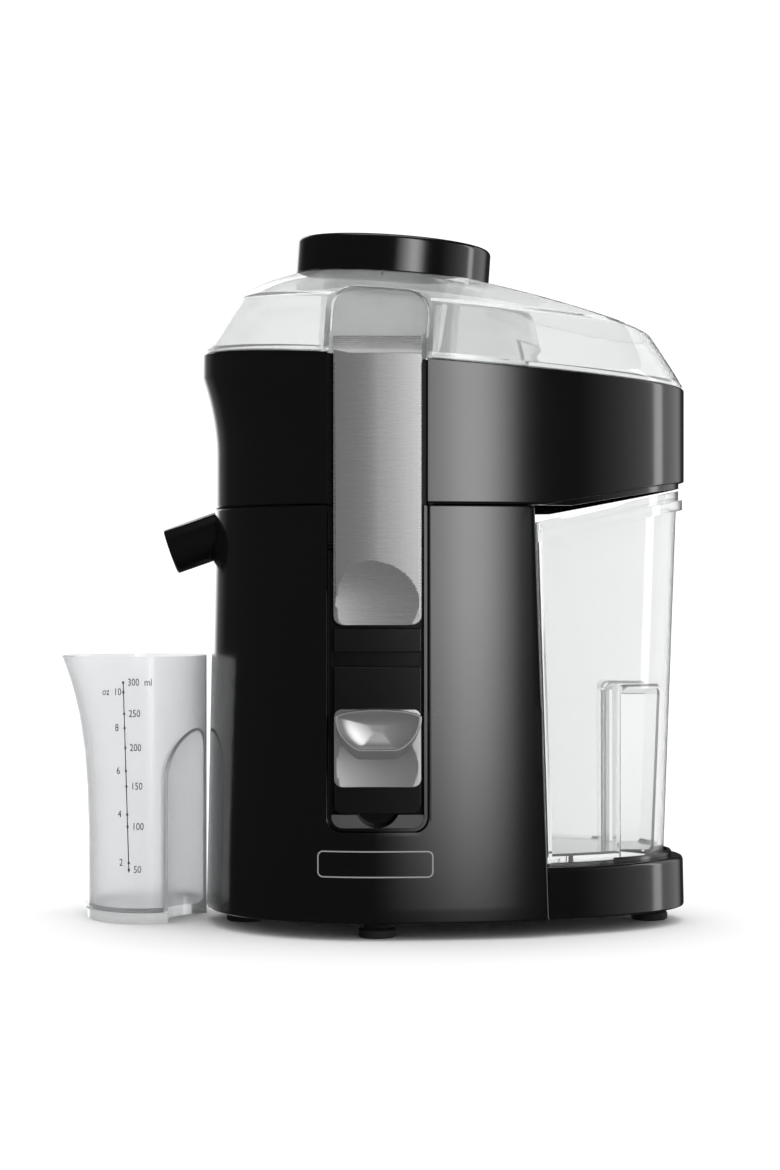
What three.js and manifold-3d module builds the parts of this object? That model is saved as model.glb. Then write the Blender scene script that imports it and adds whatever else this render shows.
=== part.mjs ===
// Compact centrifugal juicer, millimetres, +Z up, standing on its feet at z = 0.
// The long axis is X: the spout points to -X, the pulp container stands at +X, the latch faces -Y.
// The pieces are designed about the motor axis, and the last lines centre the whole model on its box.
import * as THREE from 'three';
import { mergeVertices } from 'three/addons/utils/BufferGeometryUtils.js';
import Module from 'manifold-3d';

const wasm = await Module();
wasm.setup();

// ---- Driving dimensions ----
const GAP = 0.3;                 // clearance between touching pieces
const FOOT_HEIGHT = 7;           // bottom edge of the housing above the table
const SEAM = 184.1;              // top of the base, where the juice bowl sits
const RIM_HEIGHT = 247.5;        // top of the bowl at the motor axis
const RIM_TILT = THREE.MathUtils.degToRad(3.89); // the bowl's top, lid and pusher lean towards +X
const NOSE = 75.2;               // plan radius at the spout side, at the bottom edge
const HALF_WIDTH = 76.2;         // plan half width, at the bottom edge
const REACH = 142;               // plan semi-axis towards the pulp container, at the bottom edge
const DRAFT = 0.0203;            // inward lean of the base walls per mm of height
const TRAY_REACH = 139.4;        // semi-axis of the tray and of the bowl's far end
const WALL = 2.6;                // moulded wall
const CLEAR_WALL = 2;            // wall of the clear pieces
const REAR_TOP = 67.2;           // where the tower's flat rear wall stands at the seam
const REAR_BOTTOM = 73.2;        // and at the bottom edge
const CHANNEL_HALF = 21.3;       // half width of the latch channel
const CHANNEL_BOTTOM = 45.8;
const LATCH_HALF = 18.65;
const LATCH_BOTTOM = 133.2;
const PIN_Y = -67;
const PIN_Z = 166;
const CHUTE_X = 5.2;             // centre of the chute and pusher, in the tilted frame
const PARTITION = 64.8;          // wall between the juice trough and the pulp outlet
const BASKET_RIM = 60;
const DRAIN_X = -60;             // where the trough drains into the spout
const SHAFT = 4;                 // motor shaft radius
const CUP_X = -103.5;
const CUP_Y = 26;
const CUP_HEIGHT = 118.7;
const BOX_SHIFT_X = 1.95;        // moves the motor axis so that the box is centred on the origin
const BOX_SHIFT_Y = 2.5;
const SIDES = 32;                // sides of the large egg-shaped towers

// ---- Materials ----
const finish = (color, roughness, metalness = 0, opacity = 1) => new THREE.MeshStandardMaterial({
  color, roughness, metalness, opacity, transparent: opacity < 1,
});
const blackGloss = () => finish(0x111112, 0.18);
const blackMatt = () => finish(0x161617, 0.5);
const silver = () => finish(0xa6a7a8, 0.35, 0.9);
const clear = () => finish(0xeef1f2, 0.08, 0, 0.3);
const rubber = () => finish(0x101010, 0.85);
const steel = () => finish(0xb9bcc0, 0.3, 1);
const copper = () => finish(0xb4693a, 0.4, 1);
const iron = () => finish(0x6d7074, 0.5, 0.9);

// ---- Geometry helpers ----
function solid(geometry) {
  const bare = geometry.clone();
  bare.deleteAttribute('normal');
  bare.deleteAttribute('uv');
  const merged = mergeVertices(bare, 1e-4);
  return new wasm.Manifold(new wasm.Mesh({
    numProp: 3,
    vertProperties: new Float32Array(merged.attributes.position.array),
    triVerts: new Uint32Array(merged.index.array),
  }));
}

function geometryOf(body) {
  const data = body.getMesh();
  const geometry = new THREE.BufferGeometry();
  geometry.setAttribute('position', new THREE.BufferAttribute(data.vertProperties, 3));
  geometry.setIndex(new THREE.BufferAttribute(data.triVerts, 1));
  return geometry;
}

function block([lowX, highX], [lowY, highY], [lowZ, highZ]) {
  const geometry = new THREE.BoxGeometry(highX - lowX, highY - lowY, highZ - lowZ);
  geometry.translate((lowX + highX) / 2, (lowY + highY) / 2, (lowZ + highZ) / 2);
  return solid(geometry);
}

// An upright round bar.
function post(x, y, lowZ, highZ, radius, sides = 16) {
  const geometry = new THREE.CylinderGeometry(radius, radius, highZ - lowZ, sides);
  geometry.rotateX(Math.PI / 2);
  geometry.translate(x, y, (lowZ + highZ) / 2);
  return solid(geometry);
}

function barAlongX(lowX, highX, y, z, radius, sides = 14) {
  const geometry = new THREE.CylinderGeometry(radius, radius, highX - lowX, sides);
  geometry.rotateZ(Math.PI / 2);
  geometry.translate((lowX + highX) / 2, y, z);
  return solid(geometry);
}

function barAlongY(x, lowY, highY, z, radius, sides = 16) {
  const geometry = new THREE.CylinderGeometry(radius, radius, highY - lowY, sides);
  geometry.translate(x, (lowY + highY) / 2, z);
  return solid(geometry);
}

// A prism along Y whose section is a shape in X and Z.
function prismY(shape, lowY, highY) {
  const geometry = new THREE.ExtrudeGeometry(shape, {
    depth: highY - lowY, bevelEnabled: false, curveSegments: 5,
  });
  geometry.rotateX(Math.PI / 2);
  geometry.translate(0, highY, 0);
  return solid(geometry);
}

// A prism along X whose section is a list of Y, Z points.
function prismX(points, lowX, highX) {
  const shape = new THREE.Shape(points.map(([y, z]) => new THREE.Vector2(-z, y)));
  const geometry = new THREE.ExtrudeGeometry(shape, { depth: highX - lowX, bevelEnabled: false });
  geometry.rotateY(Math.PI / 2);
  geometry.translate(lowX, 0, 0);
  return solid(geometry);
}

const polygon = (points) => new THREE.Shape(points.map(([x, y]) => new THREE.Vector2(x, y)));

function roundedPanel(half, low, high, lowRadius, highRadius) {
  const shape = new THREE.Shape();
  shape.moveTo(-half + lowRadius, low);
  shape.lineTo(half - lowRadius, low);
  shape.absarc(half - lowRadius, low + lowRadius, lowRadius, -Math.PI / 2, 0, false);
  shape.lineTo(half, high - highRadius);
  shape.absarc(half - highRadius, high - highRadius, highRadius, 0, Math.PI / 2, false);
  shape.lineTo(-half + highRadius, high);
  shape.absarc(-half + highRadius, high - highRadius, highRadius, Math.PI / 2, Math.PI, false);
  shape.lineTo(-half, low + lowRadius);
  shape.absarc(-half + lowRadius, low + lowRadius, lowRadius, Math.PI, Math.PI * 1.5, false);
  return shape;
}

// A turned piece from a closed list of radius, height points.
function turned(points, sides = 20) {
  const loop = [...points, points[0]].map(([radius, z]) => new THREE.Vector2(radius, z));
  const geometry = new THREE.LatheGeometry(loop, sides);
  geometry.rotateX(Math.PI / 2);
  const body = solid(geometry);
  return body.volume() > 0 ? body : solid(flipped(geometry));
}

function flipped(geometry) {
  const turnedOver = geometry.clone();
  const index = Array.from(turnedOver.index.array);
  for (let i = 0; i < index.length; i += 3) {
    [index[i + 1], index[i + 2]] = [index[i + 2], index[i + 1]];
  }
  turnedOver.setIndex(index);
  return turnedOver;
}

const ring = (inner, outer, low, high, sides = 20) => turned([
  [inner, low], [outer, low], [outer, high], [inner, high],
], sides);

// A tower with an egg-shaped plan: an ellipse of semi-axis nose at -X and of semi-axis reach at +X.
// Each level gives z, nose, half (the half width) and reach, and may shift along X.
function tower(levels, sides = SIDES) {
  const outline = [];
  for (let i = 0; i < sides; i += 1) {
    const angle = (2 * Math.PI * i) / sides;
    outline.push(new THREE.Vector2(Math.cos(angle), Math.sin(angle)));
  }
  const steps = levels.length - 1;
  const geometry = new THREE.ExtrudeGeometry(new THREE.Shape(outline), {
    depth: 1, steps, bevelEnabled: false,
  });
  const place = geometry.attributes.position;
  for (let i = 0; i < place.count; i += 1) {
    const { z, nose, half, reach, shift = 0 } = levels[Math.round(place.getZ(i) * steps)];
    const x = place.getX(i);
    place.setXYZ(i, shift + x * (x < 0 ? nose : reach), place.getY(i) * half, z);
  }
  return solid(geometry);
}

function piece(name, body, material) {
  const geometry = body instanceof wasm.Manifold ? geometryOf(body) : body;
  const mesh = new THREE.Mesh(geometry, material);
  mesh.name = name;
  return mesh;
}

// ---- Shared outlines ----
function baseLevel(z, inset = 0) {
  const lean = DRAFT * (z - FOOT_HEIGHT) + inset;
  return { z, nose: NOSE - lean, half: HALF_WIDTH - lean, reach: REACH - lean };
}

// The bowl's nose flares out into a lip between 209 and 242 mm; its far end stands upright.
function bowlLevel(z, inset = 0) {
  const flare = THREE.MathUtils.clamp((z - 209) / 33, 0, 1) ** 1.8 * 6;
  const swell = 0.9 * THREE.MathUtils.clamp((z - SEAM) / 66, 0, 1) ** 2;
  return { z, nose: 71.6 + flare - inset, half: 72.6 + swell - inset, reach: TRAY_REACH - inset };
}
const BOWL_LEVELS = [SEAM + GAP, 211, 223, 233, 242, 262];

// Everything on the +X side of the tower's flat rear wall, moved by offset.
function beyondRear(offset) {
  const slope = (REAR_BOTTOM - REAR_TOP) / (SEAM - FOOT_HEIGHT);
  const wallAt = (z) => REAR_TOP + slope * (SEAM - z) + offset;
  return prismY(polygon([[wallAt(0), 0], [200, 0], [200, 300], [wallAt(300), 300]]), -120, 120);
}

// The pulp container's outer wall leans out as it rises.
function containerLevel(z, inset = 0) {
  const rise = (z - 30) / 160;
  return { z, nose: 60, half: 67.5 + 4.5 * rise - inset, reach: 130.2 + 5.8 * rise - inset };
}

// The underside of the bowl over the pulp container rises towards the far end.
const undersideAt = (x) => SEAM + 0.1 + 0.18 * (x - 70);
// The container's rim follows it with more room at the tower, so that the container can tilt out.
const rimAt = (x) => 177.5 + 0.229 * (x - 70);
const under = (line, offset) => prismY(polygon([
  [40, -20], [220, -20], [220, line(220) + offset], [40, line(40) + offset],
]), -120, 120);

// ---- Base ----
function baseHousing() {
  const shell = tower([baseLevel(FOOT_HEIGHT), baseLevel(SEAM)]);
  const hollow = tower([baseLevel(4, WALL), baseLevel(SEAM - WALL, WALL)]);
  let body = shell.subtract(beyondRear(0)).subtract(hollow.subtract(beyondRear(-WALL)));
  const channel = roundedPanel(CHANNEL_HALF, CHANNEL_BOTTOM, 230, 6, 1);
  body = body.subtract(prismY(channel, -90, -59.3));
  for (const [x, y] of SCREW_PLACES) {
    const boss = post(x, y, 10.4, 34, 5);
    body = body.add(boss.intersect(shell)).subtract(post(x, y, 4, 24, 1.9));
  }
  for (const [x, y] of MOUNT_PLACES) {
    body = body.add(post(x, y, 160.4, SEAM - 1, 5));
  }
  body = body.subtract(post(0, 0, 150, 200, 17, 28));
  body = body.subtract(post(DRAIN_X, 0, 170, 200, 8.8));
  body = body.subtract(alongSpout(12.6, 6, 60, 20));
  return body.subtract(barAlongY(0, 60, 90, 22, 7));
}
const SCREW_PLACES = [[-48.4, -48.4], [-48.4, 48.4], [50, -65.4], [50, 65.4]];
const MOUNT_PLACES = [0, 120, 240].map((turn) => {
  const angle = THREE.MathUtils.degToRad(turn);
  return [44 * Math.cos(angle), 44 * Math.sin(angle)];
});
const FOOT_PLACES = [[0, -60], [0, 60], [-58, 0], [124, 0]];

function basePlate() {
  let body = tower([baseLevel(FOOT_HEIGHT + GAP, WALL + 0.4), baseLevel(9.9, WALL + 0.4)]);
  body = body.subtract(beyondRear(-WALL - 0.4));
  for (const y of [-30, 30]) {
    body = body.add(post(0, y, 9, 43.7, 4));
  }
  for (let i = -2; i <= 2; i += 1) {
    body = body.subtract(block([i * 9 - 2.5, i * 9 + 2.5], [-18, 18], [0, 20]));
  }
  const countersink = turned([[0, 6], [4.3, 6], [1.9, 9.5], [1.9, 20], [0, 20]], 16);
  for (const [x, y] of SCREW_PLACES) {
    body = body.subtract(countersink.translate([x, y, 0]));
  }
  for (const [x, y] of FOOT_PLACES.slice(0, 3)) {
    body = body.subtract(post(x, y, 0, 20, 2.9));
  }
  return body;
}

function containerTray() {
  const inset = REACH - TRAY_REACH;
  const outer = tower([baseLevel(FOOT_HEIGHT, inset), baseLevel(27.6, inset), baseLevel(29.6, inset + 1)]);
  const hollow = tower([baseLevel(4, inset + WALL), baseLevel(27, inset + WALL)]);
  const keep = beyondRear(GAP);
  let body = outer.intersect(keep).subtract(hollow.intersect(beyondRear(GAP + WALL)));
  body = body.add(post(124, 0, 10, 28, 8)).subtract(post(124, 0, 0, 15, 2.9));
  const lip = tower([29, 32].map((z) => containerLevel(z, -3.5)))
    .subtract(tower([28, 33].map((z) => containerLevel(z, -1.7))))
    .intersect(block([103, 150], [-90, 90], [0, 40]));
  return body.add(lip);
}

function rubberFoot() {
  return turned([
    [0, 0], [7.6, 0], [8.25, 0.8], [8.25, 3.6], [5.5, 4.4], [5.5, 6.9], [2.6, 6.9], [2.6, 12], [0, 12],
  ], 16);
}

function baseScrew() {
  return turned([[0, 7.4], [3.2, 7.4], [1.6, 9.2], [1.6, 21], [0, 22.5]], 16);
}

// The black recess that the latch and the switch work in.
function channelLiner() {
  const outside = roundedPanel(CHANNEL_HALF - GAP, CHANNEL_BOTTOM + GAP, SEAM - GAP, 6, 0.6);
  const inside = roundedPanel(CHANNEL_HALF - 1.6, CHANNEL_BOTTOM + 1.6, 230, 5, 0.6);
  const face = tower([baseLevel(20, 0.2), baseLevel(SEAM, 0.2)]);
  let body = prismY(outside, -90, -59.6).intersect(face).subtract(prismY(inside, -95, -61.6));
  const stop = block([-LATCH_HALF, LATCH_HALF], [-90, -61], [121.9, 131.8]);
  body = body.add(stop.intersect(tower([baseLevel(20, 1.4), baseLevel(SEAM, 1.4)])));
  const ramp = prismX([[-80, 45.8], [-61, 45.8], [-61, 54], [-68, 52.6], [-76, 46.6]], -19.9, 19.9);
  const scoop = barAlongY(0, -90, -63.5, 57, 10);
  body = body.add(ramp.subtract(scoop).intersect(face).intersect(prismY(outside, -90, -59.6)));
  body = body.subtract(block([-4, 4], [-65, -55], [77, 97]));
  body = body.subtract(barAlongX(-22, 22, PIN_Y, PIN_Z, 1.8));
  return body.subtract(barAlongY(12, -65, -55, 150, 1.8));
}

function cordGland() {
  const body = barAlongY(0, 68, 76.6, 22, 6.7).add(barAlongY(0, 76.4, 79, 22, 9.5));
  return body.subtract(barAlongY(0, 60, 90, 22, 3.2));
}

// ---- Latch ----
function latchSkin(inset) {
  const level = (z) => ({ z, nose: 74.6 - inset, half: 74 - inset, reach: REACH - 1 - inset });
  return tower([level(100), level(300)], 80);
}

// The thumb dish is pressed by an egg that is nearly flat across, so that it ends in a circle.
const DISH_SIZE = [189, 30, 45];
const DISH_DEPTH = 2.2;
const DISH_Z = 143;
function latchCover() {
  const outline = roundedPanel(LATCH_HALF, LATCH_BOTTOM, 248.2, 4, 0.4);
  let body = prismY(outline, -90, -60).intersect(latchSkin(0)).subtract(latchSkin(2.8));
  const dish = new THREE.SphereGeometry(1, 48, 48);
  dish.scale(...DISH_SIZE);
  dish.translate(0, -74 - DISH_SIZE[1] + DISH_DEPTH, DISH_Z);
  body = body.subtract(solid(dish));
  const hook = prismX([
    [-73.6, 246], [-73.2, 248.4], [-63, 256], [-62, 256.4], [-62, 252.8], [-69.6, 246],
  ], -LATCH_HALF, LATCH_HALF);
  return body.add(hook.intersect(latchSkin(0)));
}

function latchCarrier() {
  const upper = block([-17.4, 17.4], [-80, -66], [158, 245]);
  const lower = block([-17.4, 17.4], [-80, -68.9], [138, 160]);
  const boss = barAlongX(-17.4, 17.4, PIN_Y, PIN_Z, 4.6);
  let body = upper.add(lower).add(boss);
  body = body.subtract(block([-14.2, 14.2], [-69.4, -60], [176, 240]));
  body = body.subtract(block([-7.5, 7.5], [-90, -60], [158.5, 173.5]));
  body = body.add(block([-17.4, -7.2], [-70.4, -68], [156, 176]));
  body = body.add(block([7.2, 17.4], [-70.4, -68], [156, 176]));
  body = body.intersect(latchSkin(2.8 + GAP));
  return body.subtract(barAlongX(-22, 22, PIN_Y, PIN_Z, 1.8));
}

// A torsion spring round the pin, with one short leg up and one down.
function latchSpring() {
  const coilRadius = 2.9;
  const turns = 5;
  class Coil extends THREE.Curve {
    getPoint(t, target = new THREE.Vector3()) {
      const angle = t * turns * 2 * Math.PI;
      return target.set(
        -5.5 + 11 * t, PIN_Y + coilRadius * Math.cos(angle), PIN_Z + coilRadius * Math.sin(angle),
      );
    }
  }
  const wire = new THREE.Shape();
  wire.absarc(0, 0, 0.6, 0, Math.PI * 2, false);
  return solid(new THREE.ExtrudeGeometry(wire, {
    steps: 36, extrudePath: new Coil(), curveSegments: 2, bevelEnabled: false,
  }));
}

// ---- Switch ----
function switchSkin(inset) {
  return tower([baseLevel(40, inset), baseLevel(150, inset)], 80);
}

function switchSlider() {
  const outline = roundedPanel(18.5, 53.3, 115.6, 4, 0.5);
  const plate = prismY(outline, -90, -60).intersect(switchSkin(1.2)).subtract(switchSkin(4));
  return plate.add(block([-3, 3], [-71.4, -56], [80, 88]));
}

function switchKnob() {
  const plate = prismY(roundedPanel(18.4, 64.9, 97.6, 3.4, 3.4), -90, -60)
    .intersect(switchSkin(-0.7)).subtract(switchSkin(0.9));
  const outline = new THREE.Shape();
  outline.absellipse(0, 94.6, 18.2, 3.2, 0, Math.PI, false);
  outline.absellipse(0, 94.6, 18.2, 18.6, Math.PI, Math.PI * 2, false);
  const grip = prismY(outline, -84, -60).intersect(block([-30, 30], [-84, -74.9], [60, 110]));
  const core = prismY(outline, -80, -60).intersect(switchSkin(0)).subtract(switchSkin(0.9));
  const dish = new THREE.SphereGeometry(22, 20, 14);
  dish.rotateX(Math.PI / 2);
  dish.translate(0, -93, 104.5);
  return plate.add(grip.subtract(solid(dish))).add(core.subtract(solid(dish)));
}

function powerSwitch() {
  return block([-10, 10], [-59, -43], [68, 104]).subtract(block([-4.2, 4.2], [-65, -53], [76, 98]));
}

function interlockSwitch() {
  const plunger = barAlongY(12, -61, -54, 150, 1.5, 12);
  return block([4, 20], [-59, -51.6], [144, 156]).add(plunger);
}

// A bowed leaf that holds the slider at each end of its travel.
function detentSpring() {
  const bow = new THREE.EllipseCurve(0, 66, 2.6, 7, Math.PI / 2, Math.PI * 1.5, false);
  const outer = bow.getPoints(8).map((point) => [point.x - 62.5, point.y]);
  const inner = outer.map(([y, z]) => [y + 0.6, z]).reverse();
  return prismX([...outer, ...inner], -15, -9);
}

// ---- Motor and drive ----
function motorCan() {
  return turned([
    [8, 44], [39.6, 44], [39.6, 149.7], [37.4, 149.7], [37.4, 47], [13.5, 47], [13.5, 55], [11.3, 55],
    [11.3, 47], [8, 47],
  ], 28);
}

function motorBracket() {
  let body = turned([
    [7, 150], [51, 150], [51, 153], [13.5, 153], [13.5, 160], [7, 160], [7, 158.6], [11.3, 158.6],
    [11.3, 151.6], [7, 151.6],
  ], 24);
  for (const [x, y] of MOUNT_PLACES) {
    body = body.subtract(post(x, y, 140, 158, 2.2));
  }
  return body;
}

function coolingFan() {
  let body = ring(SHAFT + GAP, 9, 132, 144);
  const blades = 9;
  for (let i = 0; i < blades; i += 1) {
    const blade = new THREE.BoxGeometry(27, 1.6, 12);
    blade.rotateX(0.5);
    blade.translate(20.5, 0, 138);
    blade.rotateZ((i * 2 * Math.PI) / blades);
    body = body.add(solid(blade));
  }
  return body;
}

function driveCoupling() {
  let body = post(0, 0, SEAM + GAP, 199.4, 8.6);
  for (let i = 0; i < 6; i += 1) {
    const lobe = new THREE.BoxGeometry(3.4, 3.6, 14);
    lobe.translate(9.2, 0, 191.6);
    lobe.rotateZ((i * Math.PI) / 3);
    body = body.add(solid(lobe));
  }
  return body.subtract(post(0, 0, 180, 193, SHAFT + GAP));
}

function strainerBasket() {
  return turned([
    [3.2, 200.2], [11.6, 200.2], [11.6, 190.2], [13.4, 190.2], [13.4, 200.2], [38, 200.2],
    [57.2, 238.6], [BASKET_RIM, 239], [BASKET_RIM, 240.6], [55.8, 240.6], [36.8, 202.4], [3.2, 202.4],
  ], 32);
}

// Short teeth stand on the disc along spiral arms.
function graterDisc() {
  let body = ring(3.2, 35.4, 202.8, 204.3, 28);
  const arms = 6;
  const teethPerArm = 4;
  for (let arm = 0; arm < arms; arm += 1) {
    for (let step = 0; step < teethPerArm; step += 1) {
      const tooth = new THREE.ConeGeometry(1.2, 2.4, 4);
      tooth.rotateX(Math.PI / 2);
      tooth.translate(12 + step * 6.5, 0, 205);
      tooth.rotateZ((arm * 2 * Math.PI) / arms + step * 0.22);
      body = body.add(solid(tooth));
    }
  }
  return body;
}

function discNut() {
  return post(0, 0, 204.6, 209, 7, 6).add(post(0, 0, 199.8, 205, 2.8));
}

function brushHolder(side) {
  const box = block([11.4, 33], [-4, 4], [59, 70]).add(block([24, 30], [-4, 4], [47.3, 60]));
  return side > 0 ? box : box.rotate([0, 0, 180]);
}

// ---- Juice bowl and spout ----
function juiceBowl() {
  const levels = (inset) => BOWL_LEVELS.map((z) => bowlLevel(z, inset));
  const outer = tower(levels(0));
  const rearCut = prismY(polygon([[REAR_TOP, 100], [220, 100], [220, undersideAt(220)],
    [REAR_TOP, undersideAt(REAR_TOP)]]), -120, 120);
  const skirt = tower(levels(2.4)).subtract(tower(levels(4.6)))
    .intersect(under(undersideAt, 4)).subtract(under(undersideAt, -2.3))
    .intersect(block([69.6, 200], [-120, 120], [150, 250]));
  let inside = tower([{ ...bowlLevel(SEAM, 3), z: 150 }, ...levels(3)]);
  inside = inside.subtract(block([-120, PARTITION], [-120, 120], [100, 189.6]));
  inside = inside.subtract(block([PARTITION - 0.1, PARTITION + 2.4], [-120, 120], [100, 236]));
  let body = outer.subtract(rearCut).subtract(inside).add(skirt);
  body = body.add(post(0, 0, 188, 199, 17.2, 24)).subtract(post(0, 0, 100, 220, 15, 24));
  body = body.subtract(post(DRAIN_X, 0, 150, 220, 6.5));
  body = body.add(block([-23.4, 23.4], [-90, -61.4], [SEAM + GAP, 262]).intersect(outer));
  body = body.subtract(block([-CHANNEL_HALF, CHANNEL_HALF], [-90, -63.4], [150, 280]));
  const above = new THREE.BoxGeometry(400, 300, 60);
  above.translate(0, 0, 30);
  above.rotateY(RIM_TILT);
  above.translate(0, 0, RIM_HEIGHT);
  return body.subtract(solid(above));
}

const SPOUT_TIP = [-91.4, 165.5];
const SPOUT_SLOPE = THREE.MathUtils.degToRad(19.4);
// A round bar on the spout's axis, from one distance behind its tip to another.
function alongSpout(radius, from, to, sides = 22) {
  const geometry = new THREE.CylinderGeometry(radius, radius, to - from, sides);
  geometry.translate(0, (from + to) / 2, 0);
  geometry.rotateZ(-Math.PI / 2);
  geometry.rotateX(Math.PI / 2);
  geometry.rotateY(-SPOUT_SLOPE);
  geometry.translate(SPOUT_TIP[0], 0, SPOUT_TIP[1]);
  return solid(geometry);
}

function juiceSpout() {
  const tube = alongSpout(10.25, 0, 38).add(post(DRAIN_X, 0, 172, 190, 8.4));
  const bore = alongSpout(8.5, -5, 36).add(post(DRAIN_X, 0, 176, 195, 6.6));
  return tube.subtract(bore).subtract(block([-90, -20], [-20, 20], [SEAM - 0.2, 220]));
}

// The seal fills the hole in the nose wall, flush with its outside.
const spoutSeal = () => alongSpout(12.1, 10, 27, 20).subtract(alongSpout(10.55, 0, 40, 20))
  .intersect(tower([baseLevel(120, 0.4), baseLevel(SEAM - 0.4, 0.4)]));

// ---- Lid and pusher, drawn in the tilted frame: z = 0 is the bowl's top plane ----
const PULP_WINDOW_HALF = 40;     // opening under the dome's far side, through which the pulp is thrown
const PULP_WINDOW_TOP = 13;
const DOME = new THREE.SplineCurve([
  [77, 0.3], [75.9, 5], [68.3, 23], [65.4, 27.8], [56.6, 33.8], [43, 39.4],
].map(([radius, height]) => new THREE.Vector2(radius, height)));

function domeLevels(inset, drop) {
  return DOME.getPoints(6).map(({ x: radius, y: height }) => ({
    z: height - drop,
    nose: radius - inset,
    half: radius * 0.985 - inset,
    reach: radius - inset,
    shift: (4.5 * height) / 40,
  }));
}

function hoodLevels(inset, drop) {
  return DOME.getPoints(6).map(({ x: radius, y: height }) => {
    const size = radius / DOME.points[0].x;
    return { z: height - drop, nose: 60 * size, half: 75.6 * size - inset, reach: 138.4 * size - inset };
  });
}

function hood(inset, drop) {
  const roof = (x) => 34.7 - 0.19 * (x - 61.2) - drop;
  const body = tower(hoodLevels(inset, drop));
  const below = polygon([[0, -10], [160, -10], [160, roof(160)], [0, roof(0)]]);
  return body.intersect(prismY(below, -100, 100));
}

// The arched recess in the lid's front wall that the latch hook reaches into.
function hookArch(grow) {
  const arch = roundedPanel(20.8 + grow, -20, 29.4 + grow, 1, 10);
  return prismY(arch, -110, -60.4 + grow);
}

function oval(radiusX, radiusY, low, high, sides = 28) {
  const geometry = new THREE.CylinderGeometry(1, 1, high - low, sides);
  geometry.rotateX(Math.PI / 2);
  geometry.scale(radiusX, radiusY, 1);
  geometry.translate(CHUTE_X, 0, (low + high) / 2);
  return solid(geometry);
}

function lidBody() {
  const rimLevels = (inset, low, high) => [low, high].map((z) => ({
    z, nose: 77 - inset, half: 72.9 - inset, reach: TRAY_REACH - 0.8 - inset,
  }));
  const dome = tower(domeLevels(0, 0));
  let body = dome.add(hood(0, 0)).subtract(hookArch(0));
  const underDome = tower(domeLevels(CLEAR_WALL, CLEAR_WALL));
  const underHood = hood(CLEAR_WALL, CLEAR_WALL).subtract(dome);
  body = body.subtract(underDome.add(underHood).subtract(hookArch(CLEAR_WALL)));
  body = body.subtract(block([40, 98], [-PULP_WINDOW_HALF, PULP_WINDOW_HALF], [-10, PULP_WINDOW_TOP]));
  const rim = tower(rimLevels(0, GAP, 2.2)).subtract(tower(rimLevels(5.6, -1, 4)));
  const skirt = tower(rimLevels(4, -4, 1)).subtract(tower(rimLevels(5.6, -6, 4)));
  body = body.add(rim.add(skirt).subtract(block([-24, 24], [-110, -50], [-10, 10])));
  body = body.add(oval(31.2, 29.2, -32, 38.4)).subtract(oval(29.2, 27.2, -50, 70));
  return body.subtract(block([-20.8, 20.8], [-110, -60.4], [-10, 10]));
}

function pusherCap() {
  const outline = (z, inset) => ({
    z, nose: 43.55 - inset, half: 39 - inset, reach: 43.55 - inset, shift: CHUTE_X,
  });
  const outer = tower([outline(39.9, 0), outline(52.6, 0), outline(53.8, 0.6), outline(54.5, 2)]);
  const inner = tower([outline(30, 3), outline(51.4, 3)]);
  return outer.subtract(inner.subtract(block([-60, 60], [-60, 60], [41.6, 60]).intersect(
    oval(26, 24, 41.6, 60))));
}

function pusherBody() {
  const flange = oval(37, 33, 39.9, 41.3);
  const outer = oval(28.2, 26.2, -27, 41).add(flange);
  return outer.subtract(oval(25.8, 23.8, -24.6, 60));
}

// ---- Pulp container ----
// Two recesses under a ledge, one on each side of its far end, leave a post that the fingers grip.
const GRIP_X = 106.4;
const GRIP_HALF = 22;
const GRIP_TOP = 105;
const REAR_ROOM = 0.9;           // clearance to the tower's rear wall
function pulpContainer() {
  const level = containerLevel;
  const grip = (side, grow) => block(
    [GRIP_X - grow, 160], side > 0 ? [GRIP_HALF - grow, 90] : [-90, grow - GRIP_HALF], [-10, GRIP_TOP + grow],
  );
  const grips = (grow) => grip(1, grow).add(grip(-1, grow));
  const outer = tower([level(30.2, 0), level(215)]).intersect(beyondRear(REAR_ROOM)).subtract(grips(0));
  const inner = tower([level(32.4, CLEAR_WALL), level(240, CLEAR_WALL)])
    .intersect(beyondRear(REAR_ROOM + CLEAR_WALL)).subtract(grips(CLEAR_WALL));
  const flange = (reach, top, bottom) => {
    const flat = (z, inset) => ({ z, nose: 60, half: reach - 66 - inset, reach: reach - inset });
    const bore = tower([level(120, 1), level(240, 1)]).intersect(beyondRear(2));
    return tower([flat(150, 0), flat(240, 0)]).subtract(bore).intersect(beyondRear(REAR_ROOM))
      .intersect(under(rimAt, top)).subtract(under(rimAt, bottom));
  };
  let body = outer.intersect(under(rimAt, 0)).subtract(inner);
  body = body.add(flange(138.6, -4.4, -8.8)).add(flange(136.9, 0, -5));
  return body;
}

// ---- Juice cup ----
function cupLevels(inset, floor) {
  const heights = [0, 50, 75, 95, 108, CUP_HEIGHT];
  return heights.map((z) => {
    const rise = z / CUP_HEIGHT;
    return {
      z: z === 0 ? floor : z,
      nose: 27.2 + 12.6 * rise ** 4 - inset,
      half: 41 + 2 * rise ** 2 - inset,
      reach: 27 - inset,
      shift: CUP_X,
    };
  });
}

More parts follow.
